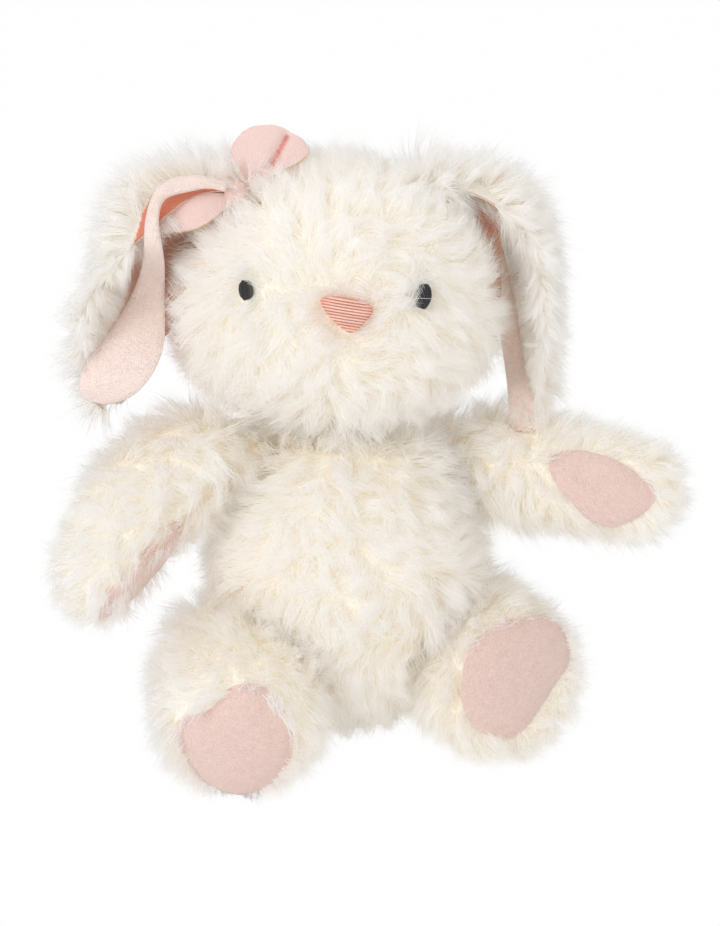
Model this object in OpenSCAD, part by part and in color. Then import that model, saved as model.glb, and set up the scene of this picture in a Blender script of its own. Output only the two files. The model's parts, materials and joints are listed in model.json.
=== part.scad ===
// Seated plush bunny: sewn panels over stuffing, floppy ears, felt bow.
// Millimetres, +Z up, the bunny faces -Y, origin at the middle of its flat seat.
// Left and right are the bunny's own: its left is +X.

/* [Fabric] */
// Thickness of a pile fabric panel with its pile pressed down
skin = 4.5; // [3:0.5:7]
// Thickness of the pink velour on paws, soles and ear linings
velour = 1.6; // [1:0.1:3]
// Thickness of the felt of the bow, folded double
felt = 3.2; // [2:0.2:5]
// Play between a panel and the stuffing behind it
fill_gap = 0.25; // [0.1:0.05:0.6]
// Clearance between bodies that move against each other
gap = 0.45; // [0.3:0.05:1]
// Facets round the head and torso
big_fn = 24; // [20:4:48]
// Facets round the limbs
limb_fn = 16; // [14:2:32]

/* [Torso] */
// Radius of the flat seat
seat_r = 27; // [20:1:34]
// Width, depth and height of the belly
belly_size = [91, 88, 80]; // [50:1:130]
// Height of the belly's middle above the seat
belly_z = 54; // [45:1:65]
// Width, depth and height of the chest
chest_size = [80, 75, 56]; // [40:1:110]
// Height of the chest's middle above the seat
chest_z = 82; // [72:1:95]
// How far the belly hangs forward of the seat
belly_forward = 2; // [0:0.5:6]
// How far the chest leans to the bunny's right
chest_lean = 2; // [0:0.5:6]

/* [Neck] */
// Radius of the ball of stuffing at the neck
neck_r = 15; // [11:0.5:18]

/* [Head] */
// Width, depth and height of the head
head_size = [102, 86, 86]; // [60:1:130]
// Distance of the head's underside above the top of the chest
head_sit = -0.5; // [-2:0.5:4]
// Yaw of the face from straight ahead to the bunny's right, pitch up and roll
head_pose = [15, 12, 3.6]; // [0:0.2:30]
// Angle of each eye to the side of the face's middle, right and left: sewn a little unevenly
eye_side = [40.5, 36.5]; // [20:0.5:45]
// Angle of the eyes above the head's middle
eye_up = 1; // [-10:1:25]
// Width, height and thickness of an embroidered eye
eye_size = [5.2, 8, 0.9]; // [0.5:0.1:10]
// Angles of the nose to the left of the face's middle and above the head's middle
nose_aim = [1.5, -5]; // [-10:0.5:20]
// Width, height and thickness of the embroidered nose
nose_size = [16, 12, 1]; // [0.5:0.1:24]
// Distances behind the head's middle of the seams round the face and round the back
head_seams = [-10, 14]; // [-20:1:24]

/* [Ears] */
// Length of an ear along its bend
ear_len = 105; // [70:1:140]
// Width of an ear at its widest
ear_w = 36; // [24:1:48]
// Width of an ear where it is pinched into the head seam
ear_root_w = 17; // [12:1:22]
// Depth of the lengthwise fold of an ear
ear_fold = 7; // [2:0.5:10]
// Angle of each ear above level as it leaves the head, right and left
ear_rise = [20, 10]; // [0:1:70]
// Angle of each ear below level where it hangs, right and left
ear_hang = [84, 88]; // [60:1:90]
// Shares of an ear's length where its bend ends, where its twist starts and where it ends
ear_shares = [0.58, 0.3, 0.7]; // [0.2:0.02:1]
// Swing of each ear's tip to the front, right and left
ear_sweep = [-5, 7]; // [-15:1:15]
// Turn of each ear's lining to face forward where it hangs, right and left
ear_twist = [52, 4]; // [0:1:70]

/* [Bow] */
// Width and height of the upper loop
loop_size = [23, 22]; // [12:1:34]
// Length and height of the lower petal
petal_size = [23, 13]; // [10:1:30]
// Width, thickness and height of the knot
knot_size = [8, 7, 9]; // [4:0.5:12]
// Which way the bow faces: to the bunny's right of ahead, and up
bow_face = [18, 22]; // [0:1:60]
// Angle of the upper loop above level
loop_tilt = 36; // [0:1:80]
// Angle of the lower petal, counted the same way
petal_tilt = 212; // [180:1:260]

/* [Arms] */
// Height of the shoulders above the seat, right and left
shoulder_z = [98, 92]; // [80:1:104]
// Radius of an arm's root in its seam, at the upper arm, at the elbow and at the hand
arm_r = [10.5, 16, 17.5, 16.5]; // [8:0.5:20]
// Lengths from the root to the upper arm, to the elbow and to the hand
arm_len = [19, 22, 24]; // [14:1:32]
// Swing of the right arm's three lengths forward from sideways
right_arm_swing = [4, 6, 22]; // [-20:1:80]
// Lift of the right arm's three lengths above level
right_arm_lift = [6, -33, -58]; // [-90:1:60]
// Swing of the left arm's three lengths forward from sideways
left_arm_swing = [34, 41, 41]; // [-20:1:80]
// Lift of the left arm's three lengths above level
left_arm_lift = [-3, -3, -4]; // [-90:1:60]
// Distance from the middle of the hand to the face of the paw pad
paw_depth = 10; // [7:0.5:13]
// Swing of an arm about its seam, backward and forward
arm_range = [20, 30]; // [0:1:40]

/* [Legs] */
// Distance of a hip from the middle of the seat
hip_x = 33; // [28:1:38]
// Height of the hips above the seat
hip_z = 28; // [24:1:34]
// Shift of both hips to the bunny's right
hip_shift = 2; // [0:0.5:5]
// Radius of a leg's root in its seam, at the thigh and at the foot
leg_r = [13, 20.5, 24.2]; // [8:0.5:26]
// Lengths from the root to the thigh and to the foot
leg_len = [13, 27]; // [8:1:36]
// Splay of the right leg's two lengths outward from straight ahead
right_leg_splay = [38, 11]; // [-10:1:60]
// Splay of the left leg's two lengths outward from straight ahead
left_leg_splay = [26, 9]; // [-10:1:60]
// Drop of the feet below the thighs
leg_drop = 5; // [0:1:10]
// Distance from the middle of the foot to the face of the sole
sole_depth = 14; // [10:0.5:18]
// Swing of a leg about its seam, inward and outward
leg_range = [8, 22]; // [0:1:30]

/* [Tail] */
// Radius of the tail's root in its seam and of its tuft
tail_r = [6, 12]; // [4:0.5:16]
// Length from the root to the middle of the tuft
tail_len = 12; // [8:1:20]
// Height of the tail above the seat
tail_z = 27; // [20:1:36]
// Wag of the tail to either side
tail_wag = 18; // [0:1:25]

/* [Filling] */
// Width, depth and height of the pouch of pellets in the seat
pouch_size = [30, 42, 15]; // [8:1:50]
// Thickness of the pouch's cloth
pouch_wall = 0.8; // [0.5:0.1:1.5]

/* [Hidden] */
RIGHT = 0;
LEFT = 1;
fur_colour = [0.96, 0.93, 0.89];
pink_colour = [0.93, 0.79, 0.75];
bow_colour = [0.97, 0.84, 0.81];
fill_colour = [0.98, 0.98, 0.97];
pellet_colour = [0.85, 0.85, 0.83];
thread_pink = [0.89, 0.66, 0.56];
thread_black = [0.08, 0.08, 0.09];
far = 400;
chest_top = chest_z + chest_size.z / 2;
neck_at = [-chest_lean, 0, chest_top];
head_shift = [-1, 1.5, 0];
head_at = neck_at + head_shift + [0, 0, head_size.z / 2 + head_sit];
// The rooms that limbs swing in: steps over the swing, and facets round.
steps = 2;
room_fn = 14;

// The way that a length points: swung forward from sideways, then lifted.
function heading(side, swing, lift) =
    [(side == LEFT ? 1 : -1) * cos(swing) * cos(lift), -sin(swing) * cos(lift), sin(lift)];
// The point at the end of length n of a chain that starts at p.
function reach(p, side, swings, lifts, lens, n) =
    n == 0 ? p
    : reach(p, side, swings, lifts, lens, n - 1)
      + lens[n - 1] * heading(side, swings[n - 1], lifts[n - 1]);
function unit(v) = v / norm(v);
function turn_z(v, a) = [v.x * cos(a) - v.y * sin(a), v.x * sin(a) + v.y * cos(a), v.z];

// Half the torso's width at height z, for seams that limbs are sewn into.
function oval_r(size, up) = size.x / 2 * sqrt(max(0, 1 - pow(2 * up / size.z, 2)));
function torso_half_w(z) = max(oval_r(belly_size, z - belly_z), oval_r(chest_size, z - chest_z));

// Arms, as lists of points from the seam to the hand.
function shoulder(side) =
    [(side == LEFT ? 1 : -1) * torso_half_w(shoulder_z[side]) - chest_lean, 0, shoulder_z[side]];
arm_swing = [right_arm_swing, left_arm_swing];
arm_lift = [right_arm_lift, left_arm_lift];
function arm_points(side) =
    [for (i = [0:3]) reach(shoulder(side), side, arm_swing[side], arm_lift[side], arm_len, i)];
function hand(side) = arm_points(side)[3];
// The paw pad faces inward and forward, and a little past the fingertips.
function hand_way(side) = heading(side, arm_swing[side][2], arm_lift[side][2]);
paw_toward = [[0.75, -0.5, -0.2], [-0.62, -0.78, 0.05]];
paw_tip = 0.3;
function square_to(v, way) = unit(v - (v * way) * way);
function paw_way(side) =
    unit(square_to(paw_toward[side], hand_way(side)) + paw_tip * hand_way(side));

// Legs, as lists of points from the seam to the foot.
hip_y = -1;
function hip(side) = [(side == LEFT ? 1 : -1) * hip_x - hip_shift, hip_y, hip_z];
leg_splay = [right_leg_splay, left_leg_splay];
function leg_points(side) =
    let (swing = [90, 90] - leg_splay[side])
    [for (i = [0:2]) reach(hip(side), side, swing, [0, -leg_drop], leg_len, i)];
function foot(side) = leg_points(side)[2];
// Each sole faces forward: how far it turns outward, and up.
sole_toward = [[18, -9], [17, 14]];
function sole_way(side) = heading(side, 90 - sole_toward[side][0], sole_toward[side][1]);

// The tail's seam and tuft. Its root is a little proud of the torso's back.
tail_proud = 3;
function tail_points() =
    let (y = belly_size.y / belly_size.x * torso_half_w(tail_z) - belly_forward + tail_proud)
    [[0, y, tail_z], [0, y + tail_len, tail_z]];

// Soft round shapes.
module ball(p, r, fn = limb_fn) {
    translate(p) hull() sphere(r, $fn = fn);
}
module egg(p, size, t, fn = big_fn) {
    translate(p) scale((size - 2 * t * [1, 1, 1]) / 2) hull() sphere(1, $fn = fn);
}
// A chain of balls at points, each r[i] less t.
module chain(points, r, t) {
    for (i = [0:len(points) - 2])
        hull() {
            ball(points[i], r[i] - t);
            ball(points[i + 1], r[i + 1] - t);
        }
}
// A ball of few facets that holds a true ball of radius r.
module room(p, r) {
    ball(p, r / pow(cos(180 / room_fn), 2), room_fn);
}
// The room that a limb needs as it swings about a vertical seam through its first point.
// Each length's room starts this share of the way along it.
room_start = 0.25;
module limb_room(points, r, low, high, extra) {
    room(points[0], r[0] + extra);
    for (i = [1:len(points) - 1], k = [0:steps - 1])
        let (p = points[i - 1] + room_start * (points[i] - points[i - 1]),
            p_r = r[i - 1] + room_start * (r[i] - r[i - 1]))
        hull()
            for (a = [low + (high - low) * k / steps, low + (high - low) * (k + 1) / steps])
                translate(points[0]) rotate([0, 0, a]) {
                    room(points[i] - points[0], r[i] + extra);
                    room(p - points[0], p_r + extra);
                }
}
// Everything on the side of a plane that its normal points to.
module beyond(p, way) {
    translate(p) rotate([0, acos(way.z), atan2(way.y, way.x)]) translate([-far / 2, -far / 2, 0])
        cube(far);
}

// Torso.
module torso_form(t) {
    hull() {
        translate([0, 0, t]) cylinder(h = 1, r = seat_r - t, $fn = big_fn);
        egg([0, -belly_forward, belly_z], belly_size, t);
        egg([-chest_lean, 0, chest_z], chest_size, t);
    }
}
module torso_solid(t) {
    difference() {
        torso_form(t);
        ball(neck_at, neck_r + gap + t, big_fn);
        for (side = [RIGHT, LEFT]) {
            limb_room([arm_points(side)[0], arm_points(side)[1]], arm_r, swing_low(side, arm_range),
                swing_high(side, arm_range), gap + t);
            limb_room(leg_points(side), leg_r, swing_low(side, [leg_range[1], leg_range[0]]),
                swing_high(side, [leg_range[1], leg_range[0]]), gap + t);
        }
        limb_room(tail_points(), tail_r, -tail_wag, tail_wag, gap + t);
    }
}
// Turning about +Z moves a left limb backward and a right limb forward.
function swing_low(side, range) = side == LEFT ? -range[1] : -range[0];
function swing_high(side, range) = side == LEFT ? range[0] : range[1];
module torso_skin() {
    difference() {
        torso_solid(0);
        torso_solid(skin);
    }
}
module torso_part(x_side) {
    color(fur_colour)
    intersection() {
        torso_skin();
        translate([x_side == 0 ? -far / 2 : min(0, x_side * far), x_side == 0 ? -far : 0, skin])
            cube(far);
    }
}
module torso_front_panel() { torso_part(0); }
module torso_back_left_panel() { torso_part(1); }
module torso_back_right_panel() { torso_part(-1); }
// The limbs swing clear above the base.
module base_panel() {
    color(fur_colour)
    intersection() {
        torso_form(0);
        cylinder(h = skin, r = far / 2);
    }
}
// The pouch stays clear of the panels that bend in round the thighs, which take a tenth more
// room than the thighs do.
pouch_w = min(pouch_size.x, 2 * (hip_x - skin - 1.1 * leg_r[0]));
pouch_box = [pouch_w, pouch_size.y, pouch_size.z];
pouch_back = 2;
pouch_at = [-hip_shift, pouch_back, skin + 2 * fill_gap + pouch_size.z / 2];
// The stuffing leaves the pouch's room open below, where the pouch lies on the base.
pouch_drop = 3;
module torso_fill() {
    color(fill_colour)
    difference() {
        intersection() {
            torso_solid(skin + fill_gap);
            translate([-far / 2, -far / 2, skin + fill_gap]) cube(far);
        }
        hull()
            for (drop = [0, pouch_drop])
                egg(pouch_at - [0, 0, drop], pouch_box, -fill_gap, limb_fn);
    }
}
module pellet_pouch() {
    color(fill_colour)
    difference() {
        egg(pouch_at, pouch_box, 0, limb_fn);
        egg(pouch_at, pouch_box, pouch_wall, limb_fn);
    }
}
module pellets() {
    color(pellet_colour) egg(pouch_at, pouch_box, pouch_wall + fill_gap / 2, limb_fn);
}

// Neck.
module neck_fill() {
    color(fill_colour) ball(neck_at, neck_r, big_fn);
}

// Head. Its own frame has the face along -Y.
module in_head() {
    translate(head_at) rotate([0, 0, -head_pose[0]]) rotate([0, head_pose[2], 0])
        rotate([-head_pose[1], 0, 0]) children();
}
function tilt_x(v, a) = [v.x, v.y * cos(a) - v.z * sin(a), v.y * sin(a) + v.z * cos(a)];
function tilt_y(v, a) = [v.x * cos(a) + v.z * sin(a), v.y, v.z * cos(a) - v.x * sin(a)];
function from_head(v) = turn_z(tilt_y(tilt_x(v, -head_pose[1]), head_pose[2]), -head_pose[0]);
// The point of the head's surface that lies one way from its middle, in its own frame.
function on_head(way) = way / norm([for (i = [0:2]) 2 * way[i] / head_size[i]]);
function head_normal(p) = unit([for (i = [0:2]) p[i] / pow(head_size[i] / 2, 2)]);
module head_solid(t) {
    difference() {
        in_head() egg([0, 0, 0], head_size, t);
        ball(neck_at, neck_r + gap + t, big_fn);
        for (side = [RIGHT, LEFT]) ear_root(side, gap + t);
    }
}
module head_skin() {
    difference() {
        head_solid(0);
        head_solid(skin);
    }
}
module head_slice(low, high, x_low) {
    color(fur_colour)
    intersection() {
        head_skin();
        in_head() translate([x_low, low, -far / 2]) cube([far, high - low, far]);
    }
}
module face_panel() { head_slice(-far, head_seams[0], -far / 2); }
module head_back_panel() { head_slice(head_seams[1], far, -far / 2); }
module head_left_panel() { head_slice(head_seams[0], head_seams[1], 0); }
module head_right_panel() { head_slice(head_seams[0], head_seams[1], -far); }
module head_fill() {
    color(fill_colour) head_solid(skin + fill_gap);
}
// A patch of embroidery lying on the head, clear of the panel behind it.
patch_gap = 0.12;
module on_face(side, up) {
    p = on_head([sin(side) * cos(up), -cos(side) * cos(up), sin(up)]);
    way = head_normal(p);
    in_head() translate(p + patch_gap * way)
        rotate([0, 0, atan2(way.x, -way.y)]) rotate([90 - asin(way.z), 0, 0]) children();
}
module eye(side) {
    color(thread_black) on_face((side == LEFT ? 1 : -1) * eye_side[side], eye_up)
        scale([eye_size.x, eye_size.y, 1]) cylinder(h = eye_size.z, d = 1, $fn = 12);
}
module left_eye() { eye(LEFT); }
module right_eye() { eye(RIGHT); }
module nose() {
    x = nose_size.x / 2;
    y = nose_size.y / 2;
    color(thread_pink) on_face(nose_aim[0], nose_aim[1])
        linear_extrude(nose_size.z)
            polygon([[-x, y], [x, y], [x - 1, 0], [x / 4, -y], [-x / 4, -y], [1 - x, 0]]);
}

// Ears. Each is swept along its bend, in stations from the seam to the tip.
stations = 12;
// Which way each ear's seam lies from the middle of the head, in the head's own frame.
ear_seat_way = [[-0.7, -0.15, 0.69], [0.61, -0.02, 0.8]];
function ear_seat(side) = head_at + from_head(on_head(ear_seat_way[side]));
function ease(x) = x < 0 ? 0 : (x > 1 ? 1 : x * x * (3 - 2 * x));
function ear_lift(side, s) =
    ear_rise[side] - (ear_rise[side] + ear_hang[side]) * ease(s / ear_shares[0]);
function ear_point(side, i) =
    i == 0 ? ear_seat(side)
    : ear_point(side, i - 1) + ear_len / stations
      * heading(side, ear_sweep[side], ear_lift(side, (i - 0.5) / stations));
function ear_way(side, i) = heading(side, ear_sweep[side], ear_lift(side, i / stations));
// Across an ear from back to front, and out of its furry back.
function ear_turn(side, s) =
    ear_twist[side] * ease((s - ear_shares[1]) / (ear_shares[2] - ear_shares[1]));
function ear_across(side, s = 0) =
    turn_z([0, -1, 0], (side == LEFT ? 1 : -1) * (ear_turn(side, s) - ear_sweep[side]));
function ear_out(side, i) =
    (side == LEFT ? 1 : -1) * unit(cross(ear_across(side, i / stations), ear_way(side, i)));
// An ear widens over its first half and rounds off over its second, to a blunt tip.
tip_round = 3.2;
tip_blunt = 0.2;
function ear_half_w(s) =
    s < 0.5 ? ear_root_w / 2 + (ear_w - ear_root_w) / 2 * ease(2 * s)
    : ear_w / 2 * max(tip_blunt, sqrt(max(0, 1 - pow(2 * s - 1, tip_round))));
// The fold starts past the root and opens to half its depth at the tip.
fold_start = 0.3;
function ear_dip(u, s) = ear_fold * u * u * ease(s / fold_start) * (1 - s / 2);
// The sheets thin out to this share at an ear's edges.
edge_thin = 0.4;
across = 6;
// One crosswise row of an ear's points, h above the face where fur meets lining.
function ear_row(side, i, h) =
    [for (k = [0:across])
        let (u = 2 * k / across - 1, s = i / stations, thin = 1 - (1 - edge_thin) * pow(u, 4))
        ear_point(side, i) + u * ear_half_w(s) * ear_across(side, s)
            + (h * thin - ear_dip(u, s)) * ear_out(side, i)];
// A closed sheet between two heights, from one station to the tip. Its low and high faces
// are cut into triangles along the same diagonals, so that fur and lining meet face to face.
function flip(row) = [for (k = [len(row) - 1:-1:0]) row[k]];
module ear_sheet(side, low, high, first) {
    n = across + 1;
    m = stations - first;
    ring = 2 * n;
    points = [for (i = [first:stations])
        for (p = concat(ear_row(side, i, low), flip(ear_row(side, i, high)))) p];
    faces = concat(
        [[for (k = [0:ring - 1]) k]],
        [for (j = [0:m - 1], k = [0:ring - 1])
            let (a = j * ring + k, b = a + ring, d = j * ring + (k + 1) % ring, c = d + ring)
            for (f = k < n ? [[a, b, c], [a, c, d]] : [[a, b, d], [b, c, d]]) f],
        [flip([for (k = [0:ring - 1]) m * ring + k])]);
    polyhedron(points, side == LEFT ? [for (f = faces) flip(f)] : faces);
}
// The ears carry the longest pile.
ear_back_t = skin + 2;
// The roll of fur that an ear turns on, and the hollow it lies in.
module ear_root(side, extra) {
    hull()
        for (e = [-1, 1])
            ball(ear_seat(side) + e * ear_root_w / 2 * ear_across(side), ear_back_t + extra);
}
module ear_back(side) {
    color(fur_colour) {
        ear_sheet(side, 0, ear_back_t, 0);
        ear_root(side, 0);
    }
}
module left_ear_back() { ear_back(LEFT); }
module right_ear_back() { ear_back(RIGHT); }
module left_ear_lining() { color(pink_colour) ear_sheet(LEFT, -velour, 0, 1); }
module right_ear_lining() { color(pink_colour) ear_sheet(RIGHT, -velour, 0, 1); }

// Bow, in a frame at its knot: +X to the bunny's left, +Y up the bow's face, +Z out of it.
// The knot sits in front of the right ear's seam. Where its middle lies from that seam, in the
// head's own frame: beside it, ahead of the rolled root, whose half width counts for most of
// the way, and above it.
bow_past_ear = [-1.99, 11.79, 0.16];
bow_ahead = bow_past_ear.y + 0.4 * ear_root_w;
bow_at = ear_seat(RIGHT) + from_head([bow_past_ear.x, -bow_ahead, bow_past_ear.z]);
module in_bow() {
    translate(bow_at) rotate([0, 0, -bow_face[0]]) rotate([90 - bow_face[1], 0, 0]) children();
}
bow_fn = 20;
felt_fn = 12;
knot_edge = 2.2;
// Distance from the knot's middle to where the loops start
loop_start = knot_size.x / 2 + 0.9;
module bow_knot() {
    corner = [knot_size.x, knot_size.z, knot_size.y] / 2 - knot_edge * [1, 1, 1];
    color(bow_colour) in_bow()
        hull()
            for (x = [-1, 1], y = [-1, 1], z = [-1, 1])
                translate([x * corner.x, y * corner.y, z * corner.z]) sphere(knot_edge, $fn = felt_fn);
}
module bow_upper_loop() {
    color(bow_colour) in_bow() rotate([0, 0, loop_tilt]) translate([loop_start, 0, 0])
        hull() {
            translate([felt / 2, 0, 0]) sphere(felt / 2, $fn = felt_fn);
            translate([loop_size.x / 2, 0, 0])
                scale([loop_size.x / 2 - 1, loop_size.y / 2, felt / 2]) sphere(1, $fn = bow_fn);
        }
}
module bow_lower_petal() {
    color(bow_colour) in_bow() rotate([0, 0, petal_tilt]) translate([loop_start, 0, 0])
        hull() {
            translate([felt / 2, 0, 0]) sphere(felt / 2, $fn = felt_fn);
            translate([petal_size.x / 2, 0, 0])
                scale([petal_size.x / 4, petal_size.y / 2, felt / 2]) sphere(1, $fn = bow_fn);
            translate([petal_size.x - felt / 2, 0, 0]) sphere(felt / 2, $fn = felt_fn);
        }
}

// Arms. Each is pinched in where it leaves its seam, part of the way to the upper arm.
pinch_share = 0.45;
pinch_in = 2.5;
module arm_form(side, t) {
    p = arm_points(side);
    ball(p[0], arm_r[0] - t);
    chain([p[0] + pinch_share * (p[1] - p[0]), p[1], p[2], p[3]],
        [arm_r[0] - pinch_in, arm_r[1], arm_r[2], arm_r[3]], t);
}
// What lies past the paw's face, from the elbow on, at a depth from the middle of the hand.
module past_paw(side, depth) {
    intersection() {
        beyond(hand(side) + depth * paw_way(side), paw_way(side));
        beyond(arm_points(side)[2], hand_way(side));
    }
}
module arm_skin(side) {
    difference() {
        arm_form(side, 0);
        arm_form(side, skin);
        past_paw(side, paw_depth - velour);
    }
}
module arm_half(side, way) {
    color(fur_colour)
    intersection() {
        arm_skin(side);
        beyond(hand(side), way);
    }
}
module arm_pad(side) {
    color(pink_colour)
    intersection() {
        arm_form(side, 0);
        past_paw(side, paw_depth - velour);
        beyond(hand(side) + paw_depth * paw_way(side), -paw_way(side));
    }
}
module arm_fill(side) {
    color(fill_colour)
    difference() {
        arm_form(side, skin + fill_gap);
        past_paw(side, paw_depth - velour - fill_gap);
    }
}
// The panels part on a plane through the hand and the shoulder.
function paw_side(side) = square_to(paw_toward[side], unit(hand(side) - shoulder(side)));
module left_arm_outer_panel() { arm_half(LEFT, -paw_side(LEFT)); }
module left_arm_inner_panel() { arm_half(LEFT, paw_side(LEFT)); }
module left_arm_pad() { arm_pad(LEFT); }
module left_arm_fill() { arm_fill(LEFT); }
module right_arm_outer_panel() { arm_half(RIGHT, -paw_side(RIGHT)); }
module right_arm_inner_panel() { arm_half(RIGHT, paw_side(RIGHT)); }
module right_arm_pad() { arm_pad(RIGHT); }
module right_arm_fill() { arm_fill(RIGHT); }

// Legs.
module leg_form(side, t) {
    p = leg_points(side);
    ball(p[0], leg_r[0] - t);
    chain(p, leg_r, t);
}
module leg_skin(side) {
    difference() {
        leg_form(side, 0);
        leg_form(side, skin);
        beyond(foot(side) + (sole_depth - velour) * sole_way(side), sole_way(side));
    }
}
module leg_half(side, way) {
    color(fur_colour)
    intersection() {
        leg_skin(side);
        beyond(foot(side), way);
    }
}
module leg_sole(side) {
    color(pink_colour)
    intersection() {
        leg_form(side, 0);
        beyond(foot(side) + (sole_depth - velour) * sole_way(side), sole_way(side));
        beyond(foot(side) + sole_depth * sole_way(side), -sole_way(side));
    }
}
module leg_fill(side) {
    color(fill_colour)
    difference() {
        leg_form(side, skin + fill_gap);
        beyond(foot(side) + (sole_depth - velour - fill_gap) * sole_way(side), sole_way(side));
    }
}
module left_leg_upper_panel() { leg_half(LEFT, [0, 0, 1]); }
module left_leg_lower_panel() { leg_half(LEFT, [0, 0, -1]); }
module left_leg_sole() { leg_sole(LEFT); }
module left_leg_fill() { leg_fill(LEFT); }
module right_leg_upper_panel() { leg_half(RIGHT, [0, 0, 1]); }
module right_leg_lower_panel() { leg_half(RIGHT, [0, 0, -1]); }
module right_leg_sole() { leg_sole(RIGHT); }
module right_leg_fill() { leg_fill(RIGHT); }

// Tail.
module tail_form(t) {
    p = tail_points();
    ball(p[0], tail_r[0] - t);
    chain(p, tail_r, t);
}
tail_skin = 3;
module tail_cover() {
    color(fur_colour)
    difference() {
        tail_form(0);
        tail_form(tail_skin);
        beyond(tail_points()[0], [0, -1, 0]);
    }
}
module tail_fill() {
    color(fill_colour) tail_form(tail_skin + fill_gap);
}

torso_front_panel();
torso_back_left_panel();
torso_back_right_panel();
base_panel();
torso_fill();
pellet_pouch();
pellets();
neck_fill();
face_panel();
head_left_panel();
head_right_panel();
head_back_panel();
head_fill();
left_eye();
right_eye();
nose();
left_ear_back();
left_ear_lining();
right_ear_back();
right_ear_lining();
bow_upper_loop();
bow_lower_petal();
bow_knot();
left_arm_outer_panel();
left_arm_inner_panel();
left_arm_pad();
left_arm_fill();
right_arm_outer_panel();
right_arm_inner_panel();
right_arm_pad();
right_arm_fill();
left_leg_upper_panel();
left_leg_lower_panel();
left_leg_sole();
left_leg_fill();
right_leg_upper_panel();
right_leg_lower_panel();
right_leg_sole();
right_leg_fill();
tail_cover();
tail_fill();
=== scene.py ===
# %% [markdown]
# # A seated plush bunny, from its sewn skins to its pile
# The construction model gives every panel, fill and joint. This file dresses it: each body of
# the bunny gets a soft skin, blown up by a cloth simulation from the shape of its own panels,
# and a coat of pile made of thin tapered ribbons that gather into wisps. Velour, felt and
# embroidery are separate pieces. All lengths are in metres.

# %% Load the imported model
import json
import math

import bpy
import numpy as np
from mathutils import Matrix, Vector
from mathutils.bvhtree import BVHTree
from mathutils.kdtree import KDTree

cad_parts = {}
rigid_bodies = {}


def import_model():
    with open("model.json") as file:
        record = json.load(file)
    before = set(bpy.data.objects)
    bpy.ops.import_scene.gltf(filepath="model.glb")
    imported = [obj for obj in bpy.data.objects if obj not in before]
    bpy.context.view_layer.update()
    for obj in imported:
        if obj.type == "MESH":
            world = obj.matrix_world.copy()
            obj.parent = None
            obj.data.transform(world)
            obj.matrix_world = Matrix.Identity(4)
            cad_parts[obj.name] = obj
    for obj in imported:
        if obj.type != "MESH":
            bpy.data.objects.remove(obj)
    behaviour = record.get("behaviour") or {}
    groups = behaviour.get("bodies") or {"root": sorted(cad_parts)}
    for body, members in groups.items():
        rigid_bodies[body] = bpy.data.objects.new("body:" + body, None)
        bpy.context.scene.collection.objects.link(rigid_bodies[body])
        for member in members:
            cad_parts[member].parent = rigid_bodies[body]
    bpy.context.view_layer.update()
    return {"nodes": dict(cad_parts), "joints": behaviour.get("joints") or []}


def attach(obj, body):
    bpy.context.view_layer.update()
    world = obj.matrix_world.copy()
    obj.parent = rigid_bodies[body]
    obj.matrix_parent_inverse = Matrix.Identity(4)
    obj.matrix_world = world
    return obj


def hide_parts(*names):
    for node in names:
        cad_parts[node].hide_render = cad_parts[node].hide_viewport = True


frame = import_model()
nodes = frame["nodes"]
joints = {j["name"]: np.array(j.get("pos_m", (0, 0, 0))) for j in frame["joints"]}
MM = 0.001

# %% [markdown]
# ## The camera
# The photograph looks down on the bunny by some 20 degrees, from a little to its right, through
# a longish lens. Aim, distance and lens were settled on the eyes, the nose, the soles and the
# outline. They come first, because what is sewn on the surface is placed by rays from here.

# %% Camera and image points
W, H = 720, 926
LONG = max(W, H)
LENS, SENSOR = 85.0, 36.0
VIEW_TURN, VIEW_RISE, VIEW_FAR = math.radians(-18), math.radians(20), 0.735
AIM = Vector((0.0047, -0.0017, 0.093))

back = Vector((math.sin(VIEW_TURN) * math.cos(VIEW_RISE),
               -math.cos(VIEW_TURN) * math.cos(VIEW_RISE), math.sin(VIEW_RISE)))
camera_data = bpy.data.cameras.new("camera")
camera_data.lens, camera_data.sensor_width = LENS, SENSOR
camera_data.sensor_fit = "AUTO"
camera_data.clip_start, camera_data.clip_end = 0.05, 20
camera = bpy.data.objects.new("camera", camera_data)
camera.location = AIM + back * VIEW_FAR
camera.rotation_euler = (-back).to_track_quat("-Z", "Y").to_euler()
bpy.context.scene.collection.objects.link(camera)
bpy.context.scene.camera = camera
bpy.context.view_layer.update()
print("camera at", [round(c, 4) for c in camera.location])


def ray(x, y):
    """Start and direction of the line of sight through an image point."""
    aim = Vector((x - W / 2 + camera_data.shift_x * LONG,
                  H / 2 - y + camera_data.shift_y * LONG, -LONG * LENS / SENSOR))
    return camera.location, (camera.matrix_world.to_3x3() @ aim).normalized()


def in_image(p):
    """Image coordinates of points in space."""
    turn = np.array(camera.matrix_world.to_3x3())
    q = (np.atleast_2d(p) - np.array(camera.location)) @ turn
    scale = LONG * LENS / SENSOR / -q[:, 2]
    return np.stack([W / 2 + q[:, 0] * scale - camera_data.shift_x * LONG,
                     H / 2 - q[:, 1] * scale + camera_data.shift_y * LONG], axis=1)


# %% [markdown]
# ## Words for materials
# A material is a graph of nodes. To read it as arithmetic, a small class wraps a socket, so that
# `1 - mask * 0.3` adds the Math nodes it needs. Any other node comes from one method that takes
# the node's type, its settings and what goes into its sockets.

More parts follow.
